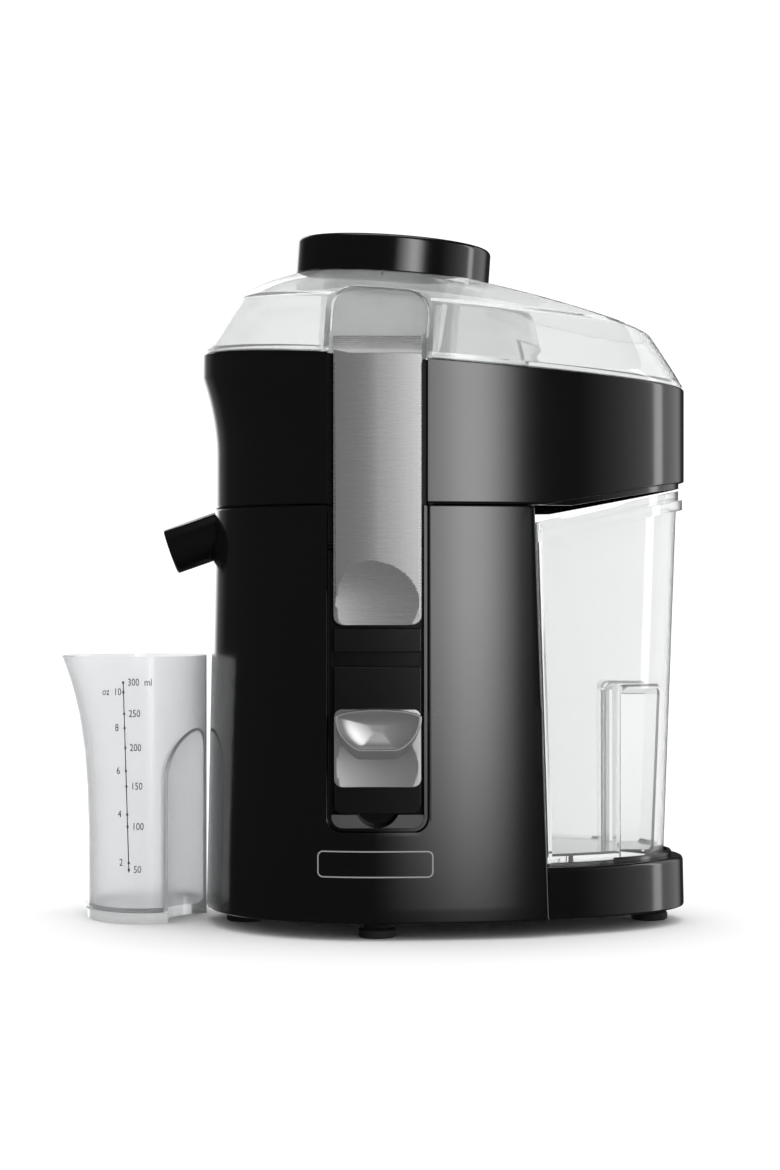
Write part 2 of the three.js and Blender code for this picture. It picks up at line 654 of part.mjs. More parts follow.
function juiceCup() {
  const nest = (radius) => {
    const dome = new THREE.SphereGeometry(1, 18, 8);
    dome.rotateX(Math.PI / 2);
    dome.scale(radius, radius, radius - 6);
    dome.translate(-62, 0, 64);
    return post(-62, 0, -10, 64, radius, 18).add(solid(dome));
  };
  const outer = tower(cupLevels(0, 0), 26);
  const flange = tower([4.4, 6].map((z) => ({ z, nose: 28.8, half: 42.6, reach: 27, shift: CUP_X })), 26);
  const inner = tower([...cupLevels(1.8, 4), { ...cupLevels(1.8, 4).at(-1), z: 140 }], 26);
  return outer.add(flange).subtract(nest(32)).subtract(inner.subtract(nest(33.8)))
    .translate([0, CUP_Y, 0]);
}

// ---- Assembly ----
const base = new THREE.Group();
base.add(
  piece('base_housing', baseHousing(), blackGloss()),
  piece('base_plate', basePlate(), blackMatt()),
  piece('container_tray', containerTray(), blackGloss()),
  piece('channel_liner', channelLiner(), blackMatt()),
  piece('cord_gland', cordGland(), blackMatt()),
  piece('juice_bowl', juiceBowl(), blackGloss()),
  piece('juice_spout', juiceSpout(), blackGloss()),
  piece('spout_seal', spoutSeal(), rubber()),
);
FOOT_PLACES.forEach(([x, y], i) => {
  const foot = piece(`rubber_foot_${i + 1}`, rubberFoot(), rubber());
  foot.position.set(x, y, 0);
  base.add(foot);
});
SCREW_PLACES.forEach(([x, y], i) => {
  const screw = piece(`base_screw_${i + 1}`, baseScrew(), steel());
  screw.position.set(x, y, 0);
  base.add(screw);
});

const latch = new THREE.Group();
latch.add(
  piece('latch_cover', latchCover(), silver()),
  piece('latch_carrier', latchCarrier(), blackMatt()),
  piece('latch_pin', barAlongX(-20.8, 20.8, PIN_Y, PIN_Z, 1.5), steel()),
  piece('latch_spring', latchSpring(), steel()),
  piece('interlock_switch', interlockSwitch(), blackMatt()),
);

const control = new THREE.Group();
control.add(
  piece('switch_slider', switchSlider(), blackGloss()),
  piece('switch_knob', switchKnob(), silver()),
  piece('power_switch', powerSwitch(), blackMatt()),
  piece('detent_spring', detentSpring(), steel()),
);

const motor = new THREE.Group();
motor.add(
  piece('motor_can', motorCan(), iron()),
  piece('motor_bracket', motorBracket(), iron()),
  piece('stator', ring(21.4, 37, 84, 122, 28), iron()),
  piece('winding_upper', ring(22, 34, 122.3, 130), copper()),
  piece('winding_lower', ring(22, 34, 76, 83.7), copper()),
  piece('lower_bearing', ring(SHAFT + GAP, 11, 47.3, 54), steel()),
  piece('upper_bearing', ring(SHAFT + GAP, 11, 151.9, 158.3), steel()),
  piece('brush_holder_left', brushHolder(-1), blackMatt()),
  piece('brush_holder_right', brushHolder(1), blackMatt()),
  piece('shaft_seal', ring(SHAFT + 0.6, 16.7, SEAM - 3.6, SEAM - 0.6), rubber()),
);
MOUNT_PLACES.forEach(([x, y], i) => {
  const mount = piece(`motor_mount_${i + 1}`, ring(2.4, 5.6, 153.3, 160.1, 20), rubber());
  mount.position.set(x, y, 0);
  motor.add(mount);
});

const rotor = new THREE.Group();
rotor.add(
  piece('motor_shaft', post(0, 0, 47.4, 192.6, SHAFT), steel()),
  piece('armature', ring(SHAFT + GAP, 20.8, 84, 122), iron()),
  piece('commutator', ring(SHAFT + GAP, 11, 57, 72), copper()),
  piece('cooling_fan', coolingFan(), blackMatt()),
  piece('drive_coupling', driveCoupling(), blackMatt()),
  piece('strainer_basket', strainerBasket(), steel()),
  piece('grater_disc', graterDisc(), steel()),
  piece('disc_nut', discNut(), steel()),
);

const top = new THREE.Group();
top.add(
  piece('lid', lidBody(), clear()),
  piece('pusher_cap', pusherCap(), blackGloss()),
  piece('pusher_body', pusherBody(), clear()),
);
top.rotation.y = RIM_TILT;
top.position.z = RIM_HEIGHT;

const vessels = new THREE.Group();
vessels.add(
  piece('pulp_container', pulpContainer(), clear()),
  piece('juice_cup', juiceCup(), clear()),
);

const juicer = new THREE.Group();
juicer.name = 'centrifugal_juicer';
juicer.add(base, latch, control, motor, rotor, top, vessels);
juicer.position.set(BOX_SHIFT_X, BOX_SHIFT_Y, 0);

export default juicer;
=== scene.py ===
import logging
import math
from collections.abc import Callable, Sequence
from dataclasses import dataclass, replace
from enum import Enum

import bmesh
import bpy
from mathutils import Matrix, Vector


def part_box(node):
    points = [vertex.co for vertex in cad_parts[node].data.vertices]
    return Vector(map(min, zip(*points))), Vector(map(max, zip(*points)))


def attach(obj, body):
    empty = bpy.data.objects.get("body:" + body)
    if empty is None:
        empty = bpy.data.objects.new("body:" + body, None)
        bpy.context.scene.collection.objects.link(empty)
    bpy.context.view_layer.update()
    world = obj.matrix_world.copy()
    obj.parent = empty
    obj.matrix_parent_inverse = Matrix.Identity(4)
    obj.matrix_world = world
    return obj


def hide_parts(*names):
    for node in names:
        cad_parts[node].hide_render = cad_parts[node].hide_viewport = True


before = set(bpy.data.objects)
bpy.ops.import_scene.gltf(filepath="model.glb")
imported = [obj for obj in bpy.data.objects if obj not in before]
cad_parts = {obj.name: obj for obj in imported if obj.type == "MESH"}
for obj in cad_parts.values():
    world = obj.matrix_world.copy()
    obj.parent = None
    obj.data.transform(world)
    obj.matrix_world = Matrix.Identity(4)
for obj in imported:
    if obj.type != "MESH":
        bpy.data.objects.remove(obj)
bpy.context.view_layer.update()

log = logging.getLogger("juicer")

# Every size is in millimetres about the motor axis, as the parts are drawn, and goes to metres at the end.
METRES = 0.001
GAP = 0.3
FOOT_HEIGHT = 7.0
SEAM = 184.1
RIM_HEIGHT = 247.5
RIM_TILT = math.radians(3.89)
NOSE, HALF_WIDTH, REACH = 75.2, 76.2, 142.0
DRAFT = 0.0203
TRAY_REACH = 139.4
REAR_TOP, REAR_BOTTOM = 67.2, 73.2
CHANNEL_HALF = 21.3
CHANNEL_BOTTOM = 45.8
LATCH_HALF = 18.65
CUP_PLACE = (-103.5, 26.0)
CUP_HEIGHT = 118.7
SIDES = 192
WHITE = (1.0, 1.0, 1.0, 1.0)
SHARP_ABOVE = 30.0

Span = tuple[float, float]
Point = tuple[float, float]


# ---- Shaping ----
class Combine(Enum):
    """How a second body changes a first."""

    JOIN = "UNION"
    CUT = "DIFFERENCE"
    KEEP = "INTERSECT"


class Axis(Enum):
    """The direction a bar or a prism runs in, as the columns of its placing matrix."""

    X = ((0, 1, 0), (0, 0, 1), (1, 0, 0))
    Y = ((1, 0, 0), (0, 0, 1), (0, 1, 0))
    Z = ((1, 0, 0), (0, 1, 0), (0, 0, 1))

    def matrix(self) -> Matrix:
        """Returns the matrix that takes a section in X and Y, drawn along Z, to this direction."""
        return Matrix(self.value).transposed().to_4x4()


@dataclass(frozen=True)
class Level:
    """One egg-shaped outline: nose towards -X, reach towards +X, half is the half width."""

    z: float
    nose: float
    half: float
    reach: float
    shift: float = 0.0

    def inset(self, by: float, z: float | None = None) -> "Level":
        """Returns the outline moved inwards.

        Args:
            by: distance inwards.
            z: a new height, if it changes too.

        Returns:
            The smaller outline.
        """
        height = self.z if z is None else z
        return replace(self, z=height, nose=self.nose - by, half=self.half - by, reach=self.reach - by)


def linked(name: str, data: bpy.types.ID) -> bpy.types.Object:
    """Returns a new object in the scene that shows the data."""
    made = bpy.data.objects.new(name, data)
    bpy.context.scene.collection.objects.link(made)
    return made


def evaluated(holder: bpy.types.Object) -> bpy.types.Mesh:
    """Returns an object's mesh with its modifiers applied, and removes the object."""
    graph = bpy.context.evaluated_depsgraph_get()
    mesh = bpy.data.meshes.new_from_object(holder.evaluated_get(graph))
    bpy.data.objects.remove(holder)
    return mesh


class Solid:
    """A closed body in the making, cut and joined like clay, in millimetres."""

    def __init__(self, shape: bmesh.types.BMesh) -> None:
        """Takes over a bmesh and closes its seams.

        Args:
            shape: the bmesh, which is freed.
        """
        bmesh.ops.remove_doubles(shape, verts=shape.verts, dist=1e-4)
        bmesh.ops.recalc_face_normals(shape, faces=shape.faces)
        self.mesh = bpy.data.meshes.new("solid")
        shape.to_mesh(self.mesh)
        shape.free()

    def _combine(self, other: "Solid", how: Combine) -> None:
        """Joins, cuts or keeps with one other body.

        Args:
            other: the second body, which stays as it is.
            how: what is done with it.
        """
        target = linked("target", self.mesh)
        tool = linked("tool", other.mesh)
        step = target.modifiers.new("combine", "BOOLEAN")
        step.operation = how.value
        step.solver = "MANIFOLD"
        step.object = tool
        self.mesh = evaluated(target)
        bpy.data.objects.remove(tool)

    def join(self, *others: "Solid") -> "Solid":
        """Adds other bodies to this one and returns it."""
        for other in others:
            self._combine(other, Combine.JOIN)
        return self

    def cut(self, *others: "Solid") -> "Solid":
        """Takes other bodies away from this one and returns it."""
        for other in others:
            self._combine(other, Combine.CUT)
        return self

    def keep(self, *others: "Solid") -> "Solid":
        """Keeps what lies inside the other bodies too and returns this one."""
        for other in others:
            self._combine(other, Combine.KEEP)
        return self

    def moved(self, matrix: Matrix) -> "Solid":
        """Moves the body by a matrix and returns it."""
        self.mesh.transform(matrix)
        return self

    def rounded(
        self,
        width: float,
        segments: int = 2,
        limit: float = 35.0,
        where: Callable[[Vector], bool] = lambda middle: True,
    ) -> "Solid":
        """Rounds the sharp edges.

        Args:
            width: how far the rounding reaches from an edge.
            segments: steps across it.
            limit: the least angle between two faces, in degrees, that counts as an edge.
            where: says from an edge's middle point whether it is rounded.

        Returns:
            This body.
        """
        shape = bmesh.new()
        shape.from_mesh(self.mesh)
        bmesh.ops.remove_doubles(shape, verts=shape.verts, dist=0.02)
        bmesh.ops.dissolve_degenerate(shape, edges=shape.edges, dist=0.02)
        sharp = [
            edge for edge in shape.edges
            if len(edge.link_faces) == 2
            and edge.calc_face_angle(0.0) > math.radians(limit)
            and where((edge.verts[0].co + edge.verts[1].co) / 2)
        ]
        bmesh.ops.bevel(
            shape, geom=sharp, offset=width, offset_type="OFFSET", affect="EDGES",
            segments=segments, profile=0.5, material=-1, clamp_overlap=False,
        )
        bmesh.ops.remove_doubles(shape, verts=shape.verts, dist=1e-3)
        shape.to_mesh(self.mesh)
        shape.free()
        return self


def ring_of_edges(verts: Sequence[bmesh.types.BMVert]) -> list[bmesh.types.BMEdge]:
    """Returns the edges that join a ring's points."""
    return list({edge for vert in verts for edge in vert.link_edges})


def tower(levels: Sequence[Level], sides: int = SIDES) -> Solid:
    """Lofts a closed body through egg-shaped outlines.

    Args:
        levels: the outlines from the bottom up.
        sides: points round each outline.

    Returns:
        The body.
    """
    shape = bmesh.new()
    rings: list[list[bmesh.types.BMEdge]] = []
    for level in levels:
        verts = bmesh.ops.create_circle(shape, cap_ends=False, radius=1.0, segments=sides)["verts"]
        bmesh.ops.scale(shape, verts=verts, vec=(1.0, level.half, 1.0))
        front = [vert for vert in verts if vert.co.x < 0]
        rear = [vert for vert in verts if vert.co.x >= 0]
        bmesh.ops.scale(shape, verts=front, vec=(level.nose, 1.0, 1.0))
        bmesh.ops.scale(shape, verts=rear, vec=(level.reach, 1.0, 1.0))
        bmesh.ops.translate(shape, verts=verts, vec=(level.shift, 0.0, level.z))
        rings.append(ring_of_edges(verts))
    bmesh.ops.contextual_create(shape, geom=rings[0])
    bmesh.ops.contextual_create(shape, geom=rings[-1])
    for lower, upper in zip(rings, rings[1:]):
        bmesh.ops.bridge_loops(shape, edges=lower + upper)
    return Solid(shape)


def block(x: Span, y: Span, z: Span) -> Solid:
    """Returns a box between the given spans."""
    size = Vector((x[1] - x[0], y[1] - y[0], z[1] - z[0]))
    middle = Vector((sum(x), sum(y), sum(z))) / 2
    shape = bmesh.new()
    matrix = Matrix.Translation(middle) @ Matrix.Diagonal((*size, 1.0))
    bmesh.ops.create_cube(shape, size=1.0, matrix=matrix)
    return Solid(shape)


def bar(axis: Axis, place: Point, span: Span, radius: float, sides: int = 48) -> Solid:
    """Makes a round bar.

    Args:
        axis: its direction.
        place: its two coordinates across that direction, in X, Y, Z order.
        span: where it starts and ends along it.
        radius: its radius.
        sides: points round it.

    Returns:
        The bar.
    """
    shape = bmesh.new()
    middle = Matrix.Translation((*place, sum(span) / 2))
    bmesh.ops.create_cone(
        shape, cap_ends=True, segments=sides, radius1=radius, radius2=radius,
        depth=span[1] - span[0], matrix=axis.matrix() @ middle,
    )
    return Solid(shape)


def prism(outline: Sequence[Point], span: Span, axis: Axis = Axis.Y) -> Solid:
    """Extrudes an outline.

    Args:
        outline: its corners, in the two coordinates across the axis.
        span: where it starts and ends along the axis.
        axis: the direction of the extrusion.

    Returns:
        The prism.
    """
    shape = bmesh.new()
    face = shape.faces.new([shape.verts.new((*corner, span[0])) for corner in outline])
    grown = bmesh.ops.extrude_face_region(shape, geom=[face])["geom"]
    top = [item for item in grown if isinstance(item, bmesh.types.BMVert)]
    bmesh.ops.translate(shape, verts=top, vec=(0.0, 0.0, span[1] - span[0]))
    bmesh.ops.transform(shape, matrix=axis.matrix(), verts=shape.verts)
    return Solid(shape)


def loft(outlines: Sequence[tuple[float, Sequence[Point]]]) -> Solid:
    """Joins upright outlines with the same number of corners.

    Args:
        outlines: for each, where it stands along Y and its corners in X and Z.

    Returns:
        The body between them.
    """
    shape = bmesh.new()
    rings = [[shape.verts.new((x, y, z)) for x, z in outline] for y, outline in outlines]
    shape.faces.new(rings[0])
    shape.faces.new(rings[-1])
    for back, front in zip(rings, rings[1:]):
        for i, corner in enumerate(back):
            after = (i + 1) % len(back)
            shape.faces.new((corner, back[after], front[after], front[i]))
    return Solid(shape)


def panel(half: float, z: Span, radii: Span, y: Span, middle: float = 0.0) -> Solid:
    """Makes an upright plate with rounded corners, seen from the front.

    Args:
        half: half its width.
        z: its lower and upper edge.
        radii: the radius of the lower and of the upper corners.
        y: its front and back.
        middle: where its middle stands along X.

    Returns:
        The plate.
    """
    shape = bmesh.new()
    corners = [(-half, z[0]), (half, z[0]), (half, z[1]), (-half, z[1])]
    verts = [shape.verts.new((middle + u, v, y[0])) for u, v in corners]
    shape.faces.new(verts)
    for corner, radius in ((verts[:2], radii[0]), (verts[2:], radii[1])):
        bmesh.ops.bevel(
            shape, geom=corner, offset=radius, offset_type="OFFSET", affect="VERTICES",
            segments=10, profile=0.5, material=-1,
        )
    grown = bmesh.ops.extrude_face_region(shape, geom=shape.faces[:])["geom"]
    top = [item for item in grown if isinstance(item, bmesh.types.BMVert)]
    bmesh.ops.translate(shape, verts=top, vec=(0.0, 0.0, y[1] - y[0]))
    bmesh.ops.transform(shape, matrix=Axis.Y.matrix(), verts=shape.verts)
    return Solid(shape)


def turned(points: Sequence[Point], sides: int = 64) -> Solid:
    """Turns a profile about the motor axis.

    Args:
        points: radius and height of its corners; a profile that starts on the axis stays open there.
        sides: steps round the axis.

    Returns:
        The turned body.
    """
    shape = bmesh.new()
    verts = [shape.verts.new((radius, 0.0, z)) for radius, z in points]
    edges = [shape.edges.new(pair) for pair in zip(verts, verts[1:])]
    if points[0][0] > 0:
        edges.append(shape.edges.new((verts[-1], verts[0])))
    bmesh.ops.spin(
        shape, geom=verts + edges, cent=(0, 0, 0), axis=(0, 0, 1), angle=2 * math.pi,
        steps=sides, use_merge=True, use_duplicate=False,
    )
    return Solid(shape)


def ball(place: Sequence[float], size: Sequence[float], sides: int = 96) -> Solid:
    """Returns a sphere at a place, stretched to three semi-axes."""
    shape = bmesh.new()
    matrix = Matrix.Translation(place) @ Matrix.Diagonal((*size, 1.0))
    bmesh.ops.create_uvsphere(shape, u_segments=sides, v_segments=sides // 2, radius=1.0, matrix=matrix)
    return Solid(shape)


def oval(radii: Point, x: float, z: Span, sides: int = 96) -> Solid:
    """Returns an upright oval bar with its middle at x."""
    return tower([Level(height, radii[0], radii[1], radii[0], x) for height in z], sides)


# ---- Outlines that several parts share ----
def base_level(z: float, inset: float = 0.0) -> Level:
    """Returns the base's outline at a height, moved inwards."""
    return Level(z, NOSE, HALF_WIDTH, REACH).inset(DRAFT * (z - FOOT_HEIGHT) + inset)


def bowl_level(z: float, inset: float = 0.0) -> Level:
    """Returns the juice bowl's outline: its nose flares out into a lip."""
    flare = min(max((z - 209) / 33, 0.0), 1.0) ** 1.8 * 6
    swell = 0.9 * min(max((z - SEAM) / 66, 0.0), 1.0) ** 2
    return Level(z, 71.6 + flare, 72.6 + swell, TRAY_REACH).inset(inset)


def container_level(z: float, inset: float = 0.0) -> Level:
    """Returns the pulp container's outline, which leans out as it rises."""
    rise = (z - 30) / 160
    return Level(z, 60 + inset, 67.5 + 4.5 * rise, 130.2 + 5.8 * rise).inset(inset)


def beyond_rear(offset: float = 0.0) -> Solid:
    """Returns everything on the container's side of the tower's flat rear wall."""
    slope = (REAR_BOTTOM - REAR_TOP) / (SEAM - FOOT_HEIGHT)
    low, high = (REAR_TOP + slope * (SEAM - z) + offset for z in (0.0, 300.0))
    return prism([(low, 0), (200, 0), (200, 300), (high, 300)], (-120, 120))


def underside(x: float) -> float:
    """Returns the height of the bowl's underside over the pulp container."""
    return SEAM + 0.1 + 0.18 * (x - 70)


def container_rim(x: float) -> float:
    """Returns the height of the pulp container's rim."""
    return 177.5 + 0.229 * (x - 70)


def below(line: Callable[[float], float], offset: float) -> Solid:
    """Returns everything below a sloping line in X and Z."""
    outline = [(40, -20), (220, -20), (220, line(220) + offset), (40, line(40) + offset)]
    return prism(outline, (-120, 120))


def latch_skin(inset: float) -> Solid:
    """Returns a full-height core whose front is the latch cover's outer face."""
    return tower([Level(z, 74.6, 74.0, REACH - 1).inset(inset) for z in (100, 300)], 360)


def base_skin(inset: float) -> Solid:
    """Returns a core whose front follows the base's outside."""
    return tower([base_level(z, inset) for z in (15, SEAM)], 360)


# ---- Finishes ----
def linear(hex_colour: str) -> tuple[float, float, float, float]:
    """Turns an sRGB hex colour to linear.

    Args:
        hex_colour: such as "a0a1a2".

    Returns:
        Red, green, blue and an alpha of 1.
    """
    parts = [int(hex_colour[i:i + 2], 16) / 255 for i in (0, 2, 4)]
    red, green, blue = (p / 12.92 if p <= 0.04045 else ((p + 0.055) / 1.055) ** 2.4 for p in parts)
    return red, green, blue, 1.0


def add_node(
    tree: bpy.types.NodeTree,
    kind: str,
    settings: dict[str, object] | None = None,
    links: dict[str, bpy.types.NodeSocket] | None = None,
) -> bpy.types.Node:
    """Adds a node.

    Args:
        tree: where it goes.
        kind: its type name.
        settings: values for its properties, or for its inputs by name.
        links: for an input's name, the output that feeds it.

    Returns:
        The node.
    """
    node = tree.nodes.new(kind)
    for name, value in (settings or {}).items():
        if hasattr(node, name):
            setattr(node, name, value)
        else:
            node.inputs[name].default_value = value
    for name, source in (links or {}).items():
        tree.links.new(source, node.inputs[name])
    return node


@dataclass(frozen=True)
class Finish:
    """A plain finish with a fine grain in its gloss and surface, and the base of the others."""

    name: str
    slot: str
    colour: str
    roughness: float
    metallic: float = 0.0
    ior: float = 1.5
    transmission: float = 0.0
    anisotropic: float = 0.0
    grain: float = 1.0
    stretch: tuple[float, float, float] = (1.0, 1.0, 1.0)
    gloss_range: float = 0.03
    bump: float = 0.0

    def material(self) -> bpy.types.Material:
        """Returns the material, made the first time it is asked for."""
        found = bpy.data.materials.get(self.name)
        return found or self._build()

    def _build(self) -> bpy.types.Material:
        """Makes the shader and its pattern and returns the material."""
        made = bpy.data.materials.new(self.name)
        made.use_nodes = True
        tree = made.node_tree
        shader = tree.nodes["Principled BSDF"]
        shader.inputs["Base Color"].default_value = linear(self.colour)
        shader.inputs["Metallic"].default_value = self.metallic
        shader.inputs["Roughness"].default_value = self.roughness
        if not self.metallic:
            shader.inputs["IOR"].default_value = self.ior
        shader.inputs["Transmission Weight"].default_value = self.transmission
        shader.inputs["Anisotropic"].default_value = self.anisotropic
        self.pattern(tree, shader)
        return made

    def pattern(self, tree: bpy.types.NodeTree, shader: bpy.types.Node) -> None:
        """Adds a noise of the grain's real size, stretched as the surface was worked.

        Args:
            tree: the material's nodes.
            shader: its principled shader.
        """
        place = add_node(tree, "ShaderNodeTexCoord")
        spread = add_node(
            tree, "ShaderNodeMapping", {"Scale": self.stretch}, {"Vector": place.outputs["Object"]},
        )
        noise = add_node(
            tree, "ShaderNodeTexNoise",
            {"Scale": 1.0 / (self.grain * METRES), "Detail": 4.0, "Roughness": 0.6},
            {"Vector": spread.outputs["Vector"]},
        )
        smoothest = max(self.roughness - self.gloss_range, 0.0)
        gloss = add_node(
            tree, "ShaderNodeMapRange", {"To Min": smoothest, "To Max": self.roughness + self.gloss_range},
            {"Value": noise.outputs["Fac"]},
        )
        tree.links.new(gloss.outputs["Result"], shader.inputs["Roughness"])
        if self.bump:
            relief = add_node(
                tree, "ShaderNodeBump", {"Strength": 1.0, "Distance": self.bump * METRES},
                {"Height": noise.outputs["Fac"]},
            )
            tree.links.new(relief.outputs["Normal"], shader.inputs["Normal"])


@dataclass(frozen=True)
class WoundWire(Finish):
    """Fine wire in layers: even ridges a wire apart."""

    wire: float = 0.6

    def pattern(self, tree: bpy.types.NodeTree, shader: bpy.types.Node) -> None:
        """Adds a ridge for each turn of wire.

        Args:
            tree: the material's nodes.
            shader: its principled shader.
        """
        place = add_node(tree, "ShaderNodeTexCoord")
        ridges = add_node(
            tree, "ShaderNodeTexWave",
            {"bands_direction": "Z", "Scale": 0.314 / (self.wire * METRES), "Distortion": 0.6},
            {"Vector": place.outputs["Object"]},
        )
        relief = add_node(
            tree, "ShaderNodeBump", {"Strength": 1.0, "Distance": 0.1 * METRES},
            {"Height": ridges.outputs["Fac"]},
        )
        tree.links.new(relief.outputs["Normal"], shader.inputs["Normal"])


# Gloss black ABS, injection moulded in a polished tool: a deep even black with a hint of ripple.
POLISHED_ABS = Finish(
    "polished_abs", "black_gloss", "0b0b0c", 0.13, ior=1.5, grain=14, gloss_range=0.02, bump=0.012,
)
# The same ABS from a spark-eroded tool: a fine even grain, 0.4 mm, that spreads the light.
ERODED_ABS = Finish(
    "spark_eroded_abs", "black_matt", "0c0c0d", 0.42, ior=1.5, grain=0.4, gloss_range=0.06, bump=0.01,
)
# The same black ABS with a satin face. Its colour is lifted to dark grey as a painted sheen that stands in
# for the overhead light the ramp reflects.
SHEEN_PAINTED_ABS = Finish("satin_abs_painted_sheen", "black_matt", "2e2e2f", 0.36, ior=1.5, grain=0.6, gloss_range=0.04)
# ABS with a silver aluminium-flake coat, brushed across: fine level streaks that stretch the highlight.
BRUSHED_COAT = Finish(
    "brushed_aluminium_coat", "silver", "8b8b8c", 0.27, metallic=0.52, anisotropic=0.3,
    grain=0.5, stretch=(0.02, 0.02, 1.0), gloss_range=0.05, bump=0.002,
)
# The same coat over a dished, unbrushed face: smooth and satin.
SATIN_COAT = Finish("satin_aluminium_coat", "silver", "959596", 0.3, metallic=0.6, grain=8, gloss_range=0.02)
# Clear styrene-acrylonitrile, moulded in a polished tool: water clear, with a slow ripple in its walls.
CLEAR_SAN = Finish(
    "clear_styrene_acrylonitrile", "clear", "fcfdfd", 0.03, ior=1.5, transmission=0.88,
    grain=22, gloss_range=0.01, bump=0.02,
)
# Natural polypropylene: clear with a slight haze, and a soft shine.
HAZY_PP = Finish(
    "natural_polypropylene", "clear", "fafbfc", 0.16, ior=1.49, transmission=0.8, grain=6,
    gloss_range=0.05, bump=0.01,
)
# Nitrile rubber, pressed in a sandblasted mould.
NITRILE = Finish("nitrile_rubber", "rubber", "121212", 0.8, ior=1.52, grain=0.6, gloss_range=0.08, bump=0.02)
# Stainless steel, pressed and bright-rolled.
ROLLED_STEEL = Finish(
    "rolled_stainless_steel", "steel", "c8cacd", 0.24, metallic=1.0, anisotropic=0.3,
    grain=0.8, stretch=(1.0, 1.0, 0.05), gloss_range=0.06,
)
# Stacked electrical sheet and zinc-plated steel: dull grey.
PLATED_IRON = Finish(
    "zinc_plated_steel", "iron", "8b8e92", 0.45, metallic=1.0, grain=2.5, gloss_range=0.1, bump=0.01,
)
# Steel blackened in an oxide bath.
BLACKENED_STEEL = replace(PLATED_IRON, name="black_oxide_steel", colour="1a1a1b")
# Enamelled copper wire.
ENAMELLED_WIRE = WoundWire("enamelled_copper_wire", "copper", "b4693a", 0.35, metallic=1.0)
# Segments of hard-drawn copper on the commutator.
DRAWN_COPPER = Finish("drawn_copper", "copper", "c07a4c", 0.3, metallic=1.0, grain=1, stretch=(1, 1, 0.05))
# Screen-printed epoxy ink: dark and slightly rough.
DARK_INK = Finish("printed_dark_ink", "black_matt", "1c1c1e", 0.6, grain=0.2, gloss_range=0.08)
# Pad-printed grey ink.
GREY_INK = Finish("printed_grey_ink", "silver", "5c5c5e", 0.5, grain=0.2, gloss_range=0.08)

# The same ink, printed paler.
PALE_INK = replace(GREY_INK, name="printed_pale_ink", colour="8a8a8c")


# ---- Placing ----
def row_matrix() -> Matrix:
    """Returns the matrix from millimetres about the motor axis to the row frame in metres."""
    low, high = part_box("motor_shaft")
    middle = (low + high) / 2
    return Matrix.Translation((middle.x, middle.y, 0.0)) @ Matrix.Scale(METRES, 4)


def tilt_matrix() -> Matrix:
    """Returns the matrix from the bowl's tilted top plane to the upright frame, in millimetres."""
    return Matrix.Translation((0, 0, RIM_HEIGHT)) @ Matrix.Rotation(RIM_TILT, 4, "Y")


def level_shading(mesh: bpy.types.Mesh) -> bpy.types.Mesh:
    """Gives the large faces the say in the normals at their corners, so that flat faces shade flat.

    Args:
        mesh: the mesh, with its sharp edges marked.

    Returns:
        The mesh with its own normals.
    """
    holder = linked("holder", mesh)
    step = holder.modifiers.new("weighted", "WEIGHTED_NORMAL")
    step.mode = "FACE_AREA"
    step.weight = 100
    step.keep_sharp = True
    return evaluated(holder)


def place_piece(
    name: str, solid: Solid, finish: Finish, body: str, nodes: Sequence[str] = ()
) -> None:
    """Puts a finished body in the scene.

    Args:
        name: the piece's name.
        solid: its shape in millimetres.
        finish: its finish.
        body: the CAD body it moves with.
        nodes: the CAD nodes it stands for.
    """
    mesh = solid.mesh
    mesh.transform(row_matrix())
    mesh.materials.clear()
    mesh.materials.append(finish.material())
    mesh.shade_smooth()
    mesh.set_sharp_from_angle(angle=math.radians(SHARP_ABOVE))
    mesh = level_shading(mesh)
    mesh.name = name
    piece = linked(name, mesh)
    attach(piece, body)
    if nodes:
        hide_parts(*nodes)
    log.info("%s: %d faces", name, len(mesh.polygons))


